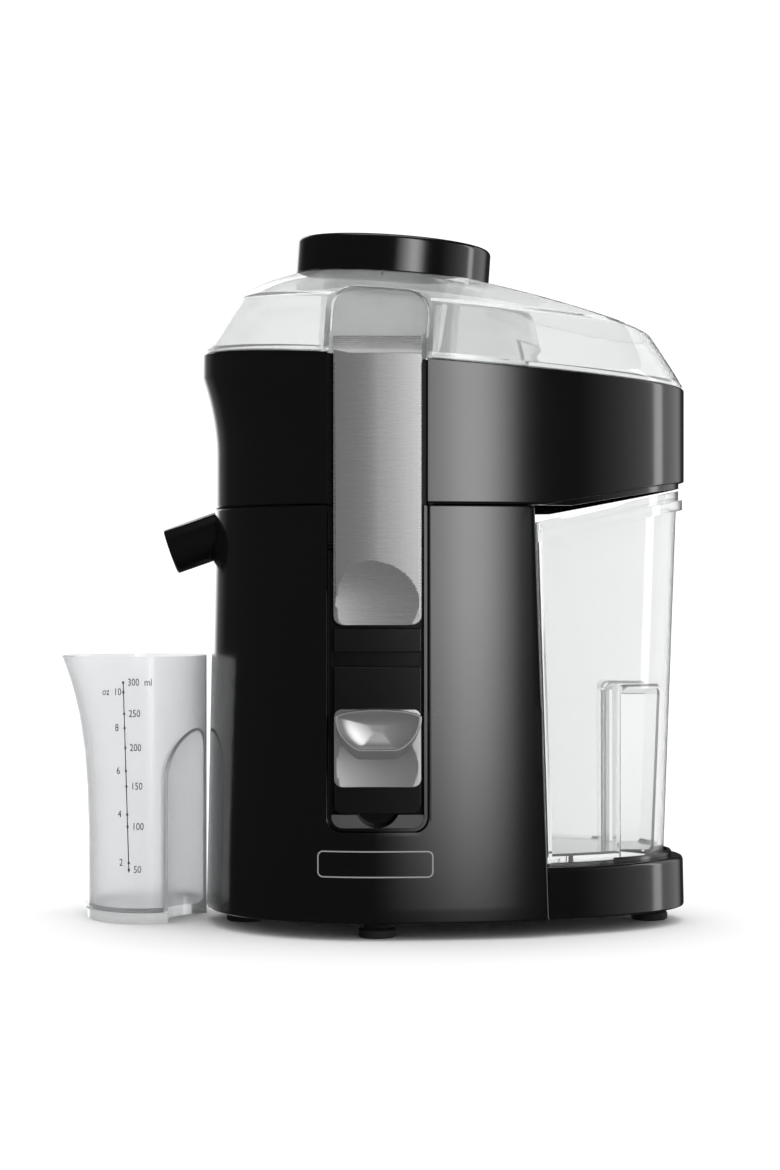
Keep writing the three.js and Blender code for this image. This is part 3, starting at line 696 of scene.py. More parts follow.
# ---- The parts ----
@dataclass
class BaseUnit:
    """The tower's housing, the tray, the black channel, the cord gland and the feet."""

    wall: float = 2.6
    foot_places: tuple[Point, ...] = ((0, -60), (0, 60), (-58, 0), (124, 0))
    bottom_rounding: tuple[Point, ...] = ((0, 1.2), (0.35, 0.35), (1.2, 0))

    def build(self) -> None:
        """Builds all the pieces of the base."""
        place_piece("housing_shell", self.housing(), POLISHED_ABS, "base", ["base_housing"])
        place_piece("tray_shell", self.tray(), POLISHED_ABS, "base", ["container_tray"])
        place_piece("channel_well", self.channel(), POLISHED_ABS, "base", ["channel_liner"])
        # The ramp's dark grey colour is a painted sheen, in place of the overhead light it reflects.
        place_piece("scooped_ramp", self.ramp(), SHEEN_PAINTED_ABS, "base")
        place_piece("gland_ring", self.gland(), ERODED_ABS, "base", ["cord_gland"])
        for number, place in enumerate(self.foot_places, 1):
            foot = self.foot().moved(Matrix.Translation((*place, 0)))
            place_piece(f"foot_{number}", foot, NITRILE, "base", [f"rubber_foot_{number}"])

    def bottom_edge(self, inset: float) -> list[Level]:
        """Returns the outlines of the base's rounded bottom edge, moved inwards."""
        return [base_level(FOOT_HEIGHT + rise, inset + back) for rise, back in self.bottom_rounding]

    def housing(self) -> Solid:
        """Returns the tower's outer shell with its flat rear wall."""
        levels = self.bottom_edge(0)
        levels += [base_level(z) for z in (*range(14, 182, 6), SEAM - 0.7)] + [base_level(SEAM, 0.7)]
        hollow = tower([base_level(z, self.wall) for z in (4, SEAM - self.wall)]).cut(beyond_rear(-self.wall))
        body = tower(levels).cut(beyond_rear(0))
        body.rounded(0.8, 3, where=lambda middle: middle.x > REAR_TOP - 3)
        body.cut(panel(CHANNEL_HALF, (CHANNEL_BOTTOM, 230), (6, 1), (-90, -59.3)))
        body.rounded(0.5, 2, where=lambda middle: abs(middle.x) < CHANNEL_HALF + 0.5 and middle.y < -70
                     and middle.z > CHANNEL_BOTTOM - 1)
        body.cut(hollow, bar(Axis.Z, (0, 0), (150, 200), 17))
        body.cut(bar(Axis.Z, (-60, 0), (170, 200), 8.8), along_spout(12.6, (6, 60)))
        return body.cut(bar(Axis.Y, (0, 22), (60, 90), 7))

    def tray(self) -> Solid:
        """Returns the low tray with the lip that the pulp container stands inside."""
        inset = REACH - TRAY_REACH
        high = 29.6
        levels = self.bottom_edge(inset)
        levels += [base_level(high - 2, inset), base_level(high - 1.2, inset + 0.2)]
        levels += [base_level(high - 0.45, inset + 0.7), base_level(high, inset + 1.6)]
        hollow = tower([base_level(4, inset + 2.6), base_level(27, inset + 2.6)]).keep(beyond_rear(GAP + 2.6))
        body = tower(levels).keep(beyond_rear(GAP)).rounded(0.5, 2, where=lambda middle: middle.x < 76)
        body.cut(hollow).join(bar(Axis.Z, (124, 0), (10, 28), 8)).cut(bar(Axis.Z, (124, 0), (0, 15), 2.9))
        rim = [container_level(29, -3.5), container_level(31.4, -3.5), container_level(32, -3.0)]
        lip = tower(rim).cut(tower([container_level(z, -1.7) for z in (28, 33)]))
        return body.join(lip.keep(block((103, 150), (-90, 90), (0, 40))))

    def channel(self) -> Solid:
        """Returns the black recess with the bar between latch and switch."""
        inside = panel(CHANNEL_HALF - 1.6, (CHANNEL_BOTTOM + 1.6, 230), (5, 0.6), (-95, -61.6))
        body = panel(CHANNEL_HALF - GAP, (CHANNEL_BOTTOM + GAP, SEAM - GAP), (6, 0.6), (-90, -59.6))
        body.keep(base_skin(1.6)).cut(inside)
        stop = block((-LATCH_HALF, LATCH_HALF), (-71.2, -61), (121.6, 131.8)).rounded(0.5, 3)
        body.join(stop).cut(block((-4, 4), (-65, -55), (77, 97)), bar(Axis.X, (-67, 166), (-22, 22), 1.8))
        return body.cut(bar(Axis.Y, (12, 150), (-65, -55), 1.8))

    def ramp(self) -> Solid:
        """Returns the block at the foot of the channel, with a scoop in its middle."""
        low = CHANNEL_BOTTOM + 1.7
        body = prism([(-73.3, low), (-62, low), (-62, 53), (-71.8, 53)], (-19.5, 19.5), Axis.X)
        body.cut(bar(Axis.Y, (0, 57), (-90, -61), 9.6, 96))
        return body.keep(panel(CHANNEL_HALF - 1.7, (low, 120), (4.9, 1), (-90, -60)))

    def gland(self) -> Solid:
        """Returns the bushing in the back wall, with a rounded flange and an open bore."""
        profile = [
            (3.2, 0), (6.7, 0), (6.7, 8.4), (8.9, 8.4), (9.5, 9), (9.5, 10.4), (8.9, 11), (4.0, 11),
            (3.2, 10.2),
        ]
        turn = Matrix.Translation((0, 68, 22)) @ Matrix.Rotation(-math.pi / 2, 4, "X")
        return turned(profile).moved(turn)

    def foot(self) -> Solid:
        """Returns one pressed rubber foot with its stem."""
        return turned([
            (0, 0.5), (6.2, 0.5), (6.8, 0), (7.4, 0), (8.0, 0.4), (8.25, 1.0), (8.25, 3.0), (7.9, 3.6),
            (5.9, 4.1), (5.5, 4.5), (5.5, 6.9), (2.6, 6.9), (2.6, 12), (0, 12),
        ])


def along_spout(radius: float, span: Span, sides: int = 72) -> Solid:
    """Returns a round bar on the spout's axis, from one distance behind its tip to another."""
    turn = Matrix.Translation((-91.4, 0, 165.5)) @ Matrix.Rotation(-math.radians(19.4), 4, "Y")
    return bar(Axis.X, (0, 0), span, radius, sides).moved(turn)


@dataclass
class Bowl:
    """The juice bowl over the motor and the spout under its nose."""

    wall: float = 3.0
    partition: float = 64.8

    def build(self) -> None:
        """Builds the bowl and the spout."""
        place_piece("bowl_collar", self.collar(), POLISHED_ABS, "base", ["juice_bowl"])
        place_piece("spout_tube", self.spout(), POLISHED_ABS, "base", ["juice_spout"])

    def collar(self) -> Solid:
        """Returns the bowl: a collar with a flared nose, a trough floor and a central hub."""
        low = SEAM + GAP
        heights = [low + 0.7, 196, 209, 213, 217, 221, 225, 229, 233, 237, 242, 252, 262]
        outer = tower([bowl_level(low, 0.7)] + [bowl_level(z) for z in heights])
        far = 220
        sloping = [(REAR_TOP, 100), (far, 100), (far, underside(far)), (REAR_TOP, underside(REAR_TOP))]
        outer.cut(prism(sloping, (-120, 120)), self.above())
        outer.rounded(0.6, 3, 40)
        skirt = tower([bowl_level(z, 2.4) for z in (low, 209, 242, 262)])
        skirt.cut(tower([bowl_level(z, 4.6) for z in (180, 209, 242, 264)]))
        skirt.keep(below(underside, 4), block((69.6, 200), (-120, 120), (150, 250)))
        skirt.cut(below(underside, -2.3))
        inside = tower([bowl_level(z, self.wall) for z in (150, 209, 217, 225, 233, 242, 262)])
        inside.cut(block((-120, self.partition), (-120, 120), (100, 189.6)))
        inside.cut(block((self.partition - 0.1, self.partition + 2.4), (-120, 120), (100, 236)))
        channel = block((-23.4, 23.4), (-90, -61.4), (low, 262))
        channel.keep(tower([bowl_level(z, 1) for z in (low, 262)]))
        body = outer.cut(inside).join(skirt, bar(Axis.Z, (0, 0), (188, 199), 17.2))
        body.cut(bar(Axis.Z, (0, 0), (100, 220), 15), bar(Axis.Z, (-60, 0), (150, 220), 6.5))
        body.join(channel.cut(self.above()))
        return body.cut(block((-CHANNEL_HALF, CHANNEL_HALF), (-90, -63.4), (150, 280)))

    def above(self) -> Solid:
        """Returns everything above the bowl's tilted top plane."""
        return block((-200, 200), (-150, 150), (0, 60)).moved(tilt_matrix())

    def spout(self) -> Solid:
        """Returns the spout's tube with its rounded lip and its inlet."""
        tube = along_spout(10.25, (0, 38)).rounded(0.8, 3, 40, lambda middle: middle.x < -80)
        tube.join(bar(Axis.Z, (-60, 0), (172, 190), 8.4))
        tube.cut(along_spout(8.5, (-5, 36)), bar(Axis.Z, (-60, 0), (176, 195), 6.6))
        return tube.cut(block((-90, -20), (-20, 20), (SEAM - 0.2, 220)))


@dataclass
class Latch:
    """The tall silver latch with its thumb dish and hook, and the carrier behind it."""

    low: float = 133.2
    high: float = 248.2
    dish_middle: tuple[float, float, float] = (-8.0, -101.5, 143.0)
    dish_size: tuple[float, float, float] = (73.0, 30.0, 45.0)

    def build(self) -> None:
        """Builds the cover; the carrier keeps its CAD shape."""
        place_piece("latch_plate", self.cover(), BRUSHED_COAT, "latch", ["latch_cover"])

    def cover(self) -> Solid:
        """Returns the curved plate, rounded at its edges, with the hook at its top."""
        body = panel(LATCH_HALF, (self.low, self.high), (4, 0.4), (-90, -60)).keep(latch_skin(0))
        body.rounded(0.5, 3, 40, lambda middle: middle.y < -66)
        body.cut(latch_skin(2.8), self.dish())
        hook = prism([
            (-73.6, 244), (-73.6, 246.4), (-73.0, 248.2), (-71.6, 249.7), (-63, 256.1), (-62, 256.4),
            (-62, 252.8), (-69.6, 246), (-70.6, 244),
        ], (-LATCH_HALF, LATCH_HALF), Axis.X)
        return body.join(hook.keep(latch_skin(0)))

    def dish(self) -> Solid:
        """Returns the egg that presses the thumb dish."""
        return ball(self.dish_middle, self.dish_size, 320)


@dataclass
class SlideSwitch:
    """The sliding plate, its half-moon knob and the two marks beside it."""

    def build(self) -> None:
        """Builds the plate, the knob and the marks."""
        place_piece("slider_plate", self.plate(), POLISHED_ABS, "switch", ["switch_slider"])
        place_piece("half_moon_knob", self.knob(), SATIN_COAT, "switch", ["switch_knob"])
        place_piece("switch_marks", self.marks(), GREY_INK, "base")

    def plate(self) -> Solid:
        """Returns the black plate that slides in the channel, with its peg to the switch."""
        body = panel(18.5, (53.3, 115.3), (4, 0.5), (-71.4, -60))
        body.rounded(0.4, 3, 40, lambda middle: middle.y < -71)
        return body.cut(base_skin(4)).join(block((-3, 3), (-71, -56), (80, 88)))

    def knob(self) -> Solid:
        """Returns the silver plate, gently dished, with the scooped half-moon grip."""
        plate = panel(18.4, (64.9, 97.6), (3.4, 3.4), (-90, -60)).keep(base_skin(-0.7))
        plate.rounded(0.35, 2, 40, lambda middle: middle.y < -68)
        behind = block((-30, 30), (-71.5, -40), (50, 120))
        plate.cut(ball((-8, -93.1, 75), (59.6, 20, 40), 320))
        front = self.half_moon(15.9, 80.5)
        grip = loft([(-72, self.half_moon(20.8, 76)), (-83.6, front), (-84, self.shrunk(front, 0.98))])
        steps = [math.pi / 2 * i / 12 for i in range(12)]
        scoop = loft([(-85, self.shrunk(front, 0.955))] + [
            (-84 + 3.6 * math.sin(t), self.shrunk(front, 0.94 * math.cos(t))) for t in steps
        ])
        return plate.join(grip.cut(scoop)).cut(behind)

    def shrunk(self, outline: Sequence[Point], by: float) -> list[Point]:
        """Returns an outline scaled about the grip's middle."""
        return [(x * by, 90 + (z - 90) * by) for x, z in outline]

    def half_moon(self, drop: float, low: float) -> list[Point]:
        """Returns the grip's outline: nearly flat above, round below and cut off at a height."""
        steps = 96
        outline = []
        for i in range(steps):
            angle = math.tau * i / steps
            height = 3.2 if angle < math.pi else drop
            outline.append((18.2 * math.cos(angle), max(94.6 + height * math.sin(angle), low)))
        return outline

    def marks(self) -> Solid:
        """Returns the printed stroke and ring that stand for on and off."""
        stroke = panel(0.17, (101.3, 106.6), (0.05, 0.05), (-90, -60), 25.6)
        outer = turned([(1.45, -90), (1.78, -90), (1.78, -60), (1.45, -60)], 48)
        turn = Matrix.Translation((25.6, 0, 95.8)) @ Matrix.Rotation(math.pi / 2, 4, "X")
        stretch = Matrix.Diagonal((1, 1, -1, 1))
        body = stroke.join(outer.moved(turn @ stretch))
        return body.keep(base_skin(-0.05)).cut(base_skin(0.05))


@dataclass
class Badge:
    """The blank rounded outline low on the front."""

    half: float = 24.5
    z: Span = (26.7, 38.0)
    line: float = 0.55

    def build(self) -> None:
        """Builds the outline, slightly raised."""
        outer = panel(self.half, self.z, (2.4, 2.4), (-90, -60), -1.0)
        low, high = self.z[0] + self.line, self.z[1] - self.line
        outer.cut(panel(self.half - self.line, (low, high), (1.9, 1.9), (-92, -58), -1.0))
        outer.keep(base_skin(-0.08)).cut(base_skin(0.05))
        place_piece("badge_outline", outer, PALE_INK, "base")


def spline(points: Sequence[Point], steps: int) -> list[Point]:
    """Runs a smooth curve through points.

    Args:
        points: what it passes through.
        steps: how many pieces it is cut into.

    Returns:
        Points along the curve.
    """
    made: list[Point] = []
    for i in range(steps + 1):
        place = (len(points) - 1) * i / steps
        index = min(int(place), len(points) - 2)
        t = place - index
        p0 = points[max(index - 1, 0)]
        p1, p2 = points[index], points[index + 1]
        p3 = points[min(index + 2, len(points) - 1)]
        made.append(tuple(
            0.5 * (2 * b + (c - a) * t + (2 * a - 5 * b + 4 * c - d) * t * t
                   + (3 * b - a - 3 * c + d) * t ** 3)
            for a, b, c, d in zip(p0, p1, p2, p3)
        ))
    return made


@dataclass
class Lid:
    """The clear lid with dome, chute and hood, and the pusher in its chute.

    It is drawn in the tilted frame, where z = 0 is the bowl's top plane."""

    wall: float = 2.0
    chute_x: float = 5.2
    dome: tuple[Point, ...] = ((77, 0.3), (75.9, 5), (68.3, 23), (65.4, 27.8), (56.6, 33.8), (43, 39.4))

    def build(self) -> None:
        """Builds the lid and the pusher."""
        tilt = tilt_matrix()
        place_piece("lid_shell", self.shell().moved(tilt), CLEAR_SAN, "lid", ["lid"])
        place_piece("pusher_top", self.cap().moved(tilt), POLISHED_ABS, "pusher", ["pusher_cap"])
        place_piece("pusher_tube", self.pusher().moved(tilt), CLEAR_SAN, "pusher", ["pusher_body"])

    def dome_solid(self, inset: float, drop: float) -> Solid:
        """Returns the dome moved inwards and down."""
        levels = [
            Level(height, radius, radius * 0.985, radius, 4.5 * height / 40).inset(inset, height - drop)
            for radius, height in spline(self.dome, 40)
        ]
        return tower(levels)

    def hood_solid(self, inset: float, drop: float) -> Solid:
        """Returns the hood over the pulp outlet, moved inwards and down, under its sloping roof."""
        levels = []
        for radius, height in spline(self.dome, 40):
            size = radius / self.dome[0][0]
            levels.append(Level(height - drop, 60 * size, 75.6 * size - inset, 138.4 * size - inset))
        roof = [(0, -10), (160, -10), (160, 34.7 - 0.19 * 98.8 - drop), (0, 34.7 + 0.19 * 61.2 - drop)]
        return tower(levels).keep(prism(roof, (-100, 100)))

    def arch(self, grow: float) -> Solid:
        """Returns the arched recess that the latch hook reaches into."""
        return panel(20.8 + grow, (-20, 29.4 + grow), (1, 10 + grow), (-110, -60.4 + grow))

    def rim(self, inset: float, low: float, high: float) -> Solid:
        """Returns a slab with the outline of the bowl's top."""
        return tower([Level(z, 77, 72.9, TRAY_REACH - 0.8).inset(inset) for z in (low, high)])

    def shell(self) -> Solid:
        """Returns the whole moulding."""
        dome = self.dome_solid(0, 0)
        body = self.dome_solid(0, 0).join(self.hood_solid(0, 0)).cut(self.arch(0))
        body.rounded(0.7, 3, 40, lambda middle: middle.z > 1)
        under = self.dome_solid(self.wall, self.wall)
        under.join(self.hood_solid(self.wall, self.wall).cut(dome)).cut(self.arch(self.wall))
        body.cut(under)
        body.cut(block((40, 98), (-40, 40), (-10, 13)))
        rim = self.rim(0, GAP, 2.2).cut(self.rim(5.6, -1, 4))
        skirt = self.rim(4, -4, 1).cut(self.rim(5.6, -6, 4))
        body.join(rim.join(skirt).cut(block((-24, 24), (-110, -50), (-10, 10))))
        body.join(oval((31.2, 29.2), self.chute_x, (-32, 38.4)))
        body.cut(oval((29.2, 27.2), self.chute_x, (-50, 70)))
        return body.cut(block((-20.8, 20.8), (-110, -60.4), (-10, 10)))

    def cap(self) -> Solid:
        """Returns the pusher's black oval cap, hollow below."""
        def outline(z: float, inset: float) -> Level:
            """Returns the cap's outline."""
            return Level(z, 43.55, 39, 43.55, self.chute_x).inset(inset)

        rounding = 2.2
        arc = [outline(56.2 - rounding * (1 - math.sin(t)), rounding * (1 - math.cos(t)))
               for t in (math.pi / 2 * i / 6 for i in range(7))]
        outer = tower([outline(39.9, 0.5), outline(40.4, 0)] + arc)
        inner = tower([outline(30, 3), outline(51.4, 3)])
        inner.cut(oval((26, 24), self.chute_x, (41.6, 60)))
        return outer.cut(inner)

    def pusher(self) -> Solid:
        """Returns the clear tube that fits in the chute."""
        outer = oval((28.2, 26.2), self.chute_x, (-27, 41)).rounded(1.0, 3, 40, lambda middle: middle.z < -20)
        outer.join(oval((37, 33), self.chute_x, (39.9, 41.3)))
        return outer.cut(oval((25.8, 23.8), self.chute_x, (-24.6, 60)))


@dataclass
class PulpContainer:
    """The clear container with its two side grips and stepped rim."""

    wall: float = 2.0

    def build(self) -> None:
        """Builds the container."""
        place_piece("pulp_bin", self.shell(), CLEAR_SAN, "container", ["pulp_container"])

    def grips(self, grow: float) -> Solid:
        """Returns the finger recesses under a ledge on both sides of the far end."""
        front, top = 106.4 - grow, 105 + grow
        left, right = (block((front, 160), span, (-10, top)) for span in ((-90, grow - 22), (22 - grow, 90)))
        return left.rounded(3, 4).join(right.rounded(3, 4))

    def flange(self, reach: float, top: float, bottom: float) -> Solid:
        """Returns one step of the rim."""
        slab = tower([Level(z, 60, reach - 66, reach) for z in (150, 240)])
        bore = tower([container_level(z, 1) for z in (120, 240)]).keep(beyond_rear(2))
        slab.cut(bore).keep(beyond_rear(0.9), below(container_rim, top)).cut(below(container_rim, bottom))
        return slab

    def shell(self) -> Solid:
        """Returns the whole moulding."""
        levels = [container_level(30.2, 1.6), container_level(30.7, 0.6), container_level(31.8, 0)]
        outer = tower(levels + [container_level(z) for z in (110, 215)])
        outer.keep(beyond_rear(0.9)).cut(self.grips(0)).keep(below(container_rim, 0))
        outer.rounded(1.2, 3, 50, lambda middle: middle.x < 77 and middle.z > 31)
        inner = tower([container_level(33.4, self.wall + 1), container_level(34.6, self.wall)]
                      + [container_level(z, self.wall) for z in (110, 240)])
        inner.keep(beyond_rear(0.9 + self.wall)).cut(self.grips(self.wall))
        body = outer.cut(inner)
        return body.join(self.flange(138.6, -4.4, -8.8), self.flange(136.9, 0, -5))


@dataclass
class JuiceCup:
    """The cup with its pour lip, foot, nesting arch and printed graduations."""

    wall: float = 1.8
    sides: int = 144
    heights: tuple[float, ...] = (0, 3, 20, 40, 60, 75, 85, 93, 100, 106, 111, 115, CUP_HEIGHT)
    letter_size: float = 4.5
    letter_width: float = 0.78

    def build(self) -> None:
        """Builds the cup and prints its scale."""
        shift = Matrix.Translation((*CUP_PLACE, 0))
        place_piece("cup_shell", self.shell().moved(shift), HAZY_PP, "cup", ["juice_cup"])
        self.scale()

    def level(self, z: float, inset: float = 0.0) -> Level:
        """Returns the cup's outline, which flares towards its pour lip."""
        rise = z / CUP_HEIGHT
        return Level(z, 27.2 + 12.6 * rise ** 4, 41 + 2 * rise ** 2, 27).inset(inset)

    def nest(self, radius: float) -> Solid:
        """Returns the shape of the tower's nose, domed at the top, that the cup nests over."""
        place, top = (41.5, -CUP_PLACE[1]), 64
        dome = ball((*place, top), (radius, radius, radius - 6), 128)
        return bar(Axis.Z, place, (-10, top), radius, 128).join(dome)

    def shell(self) -> Solid:
        """Returns the cup's wall, foot and arch."""
        outer = tower([self.level(z) for z in self.heights], self.sides)
        ledge = Level(0, 28.8, 42.6, 27)
        rings = [ledge.inset(inset, z) for z, inset in ((4.4, 0.4), (4.7, 0), (5.7, 0), (6, 0.4))]
        outer.join(tower(rings, self.sides)).cut(self.nest(32))
        levels = [self.level(5.4, self.wall + 1.4), self.level(7, self.wall)]
        levels += [self.level(z, self.wall) for z in self.heights[2:]]
        levels += [levels[-1].inset(0, 140)]
        inner = tower([self.level(4.6, self.wall + 3)] + levels, self.sides).cut(self.nest(33.8))
        return outer.cut(inner)

    def scale(self) -> None:
        """Prints the graduation line, its ticks and its numbers on the front wall."""
        marks = [(300, 107.3), (250, 93.4), (200, 78.3), (150, 61.2), (100, 43.3), (50, 24.2)]
        ounces = [(10, 103.0), (8, 87.1), (6, 68.0), (4, 48.7), (2, 27.2)]
        x_of = lambda z: -111.5 + 2.4 * (1 - (z - 25) / 80)
        half = 0.2
        foot, top = x_of(25), x_of(106)
        line = prism([(foot - half, 23), (foot + half, 23), (top + half, 107), (top - half, 107)], (-30, 10))
        for _, z in marks + ounces:
            line.join(bar(Axis.Y, (x_of(z), z), (-30, 10), 0.55, 20))
        shift = Matrix.Translation((*CUP_PLACE, 0))
        skin = tower([self.level(z, -0.08) for z in self.heights], self.sides).moved(shift)
        core = tower([self.level(z, -0.01) for z in self.heights], self.sides).moved(shift)
        place_piece("cup_scale_line", line.keep(skin).cut(core), DARK_INK, "cup")
        for value, z in marks:
            self.label(f"{value}", (x_of(z) + 2.0, z), skin, f"cup_mark_{value}")
        for value, z in ounces:
            self.label(f"{value}", (x_of(z) - 4.4, z), skin, f"cup_ounce_{value}")
        self.label("ml", (x_of(107.3) + 9.4, 107.3), skin, "cup_mark_ml")
        self.label("oz", (x_of(103.0) - 9.8, 103.0), skin, "cup_mark_oz")

    def label(self, text: str, place: Point, skin: Solid, name: str) -> None:
        """Prints a short label on the cup's front.

        Args:
            text: a number or a unit.
            place: X of its left edge and Z of its middle.
            skin: the surface it lies on.
            name: the piece's name.
        """
        letters = bpy.data.curves.new(name, "FONT")
        letters.body = text
        letters.size = self.letter_size
        letters.align_y = "CENTER"
        letters.resolution_u = 3
        mesh = evaluated(linked(name, letters))
        shape = bmesh.new()
        shape.from_mesh(mesh)
        bmesh.ops.triangulate(shape, faces=shape.faces)
        bmesh.ops.scale(shape, verts=shape.verts, vec=(self.letter_width, 1, 1))
        upright = Matrix.Translation((place[0], -60, place[1])) @ Matrix.Rotation(math.pi / 2, 4, "X")
        bmesh.ops.transform(shape, matrix=upright, verts=shape.verts)
        shape.to_mesh(mesh)
        shape.free()
        sheet = linked(name, mesh)
        target = linked("wrap", skin.mesh)
        wrap = sheet.modifiers.new("wrap", "SHRINKWRAP")
        wrap.target = target
        wrap.wrap_method = "PROJECT"
        wrap.use_project_y = True
        wrap.use_positive_direction = True
        wrap.use_negative_direction = False
        printed = evaluated(sheet)
        bpy.data.objects.remove(target)
        shape = bmesh.new()
        shape.from_mesh(printed)
        place_piece(name, Solid(shape), DARK_INK, "cup")


@dataclass
class Strainer:
    """The steel basket with its grater disc."""

    def build(self) -> None:
        """Builds the basket and the disc."""
        place_piece("sieve_basket", self.basket(), ROLLED_STEEL, "rotor", ["strainer_basket"])
        place_piece("grater_plate", self.disc(), ROLLED_STEEL, "rotor", ["grater_disc"])

    def basket(self) -> Solid:
        """Returns the cone with its rolled rim."""
        return turned([
            (3.2, 200.2), (11.6, 200.2), (11.6, 190.2), (13.4, 190.2), (13.4, 200.2), (38, 200.2),
            (57.2, 238.4), (59.2, 238.4), (60.0, 239.0), (60.0, 240.0), (59.4, 240.6), (56.6, 240.6),
            (55.6, 240.0), (36.8, 202.4), (3.2, 202.4),
        ], 128)

    def disc(self) -> Solid:
        """Returns the disc with its teeth along spiral arms."""
        body = turned([(3.2, 202.8), (35.4, 202.8), (35.4, 204.0), (35.1, 204.3), (3.2, 204.3)], 96)
        for arm in range(12):
            for step in range(7):
                shape = bmesh.new()
                angle = arm * math.tau / 12 + step * 0.16
                radius = 11 + step * 3.5
                place = Matrix.Translation((radius * math.cos(angle), radius * math.sin(angle), 205.0))
                turn = Matrix.Rotation(angle, 4, "Z")
                bmesh.ops.create_cone(shape, cap_ends=True, segments=8, radius1=0.9, radius2=0.15, depth=1.8,
                                      matrix=place @ turn)
                body.join(Solid(shape))
        return body


@dataclass
class InnerParts:
    """The CAD parts that keep their shape and get a finish."""

    finishes: tuple[tuple[Finish, str], ...] = (
        (ERODED_ABS, "base_plate latch_carrier interlock_switch power_switch brush_holder_left "
                     "brush_holder_right cooling_fan drive_coupling"),
        (NITRILE, "spout_seal shaft_seal motor_mount_1 motor_mount_2 motor_mount_3"),
        (PLATED_IRON, "base_screw_1 base_screw_2 base_screw_3 base_screw_4 motor_can motor_bracket stator "
                      "armature"),
        (ROLLED_STEEL, "latch_spring detent_spring lower_bearing upper_bearing motor_shaft disc_nut"),
        (BLACKENED_STEEL, "latch_pin"),
        (ENAMELLED_WIRE, "winding_upper winding_lower"),
        (DRAWN_COPPER, "commutator"),
    )

    def build(self) -> None:
        """Puts each finish on its nodes."""
        for finish, names in self.finishes:
            for name in names.split():
                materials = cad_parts[name].data.materials
                materials.clear()
                materials.append(finish.material())
                log.info("%s: %s", name, finish.name)


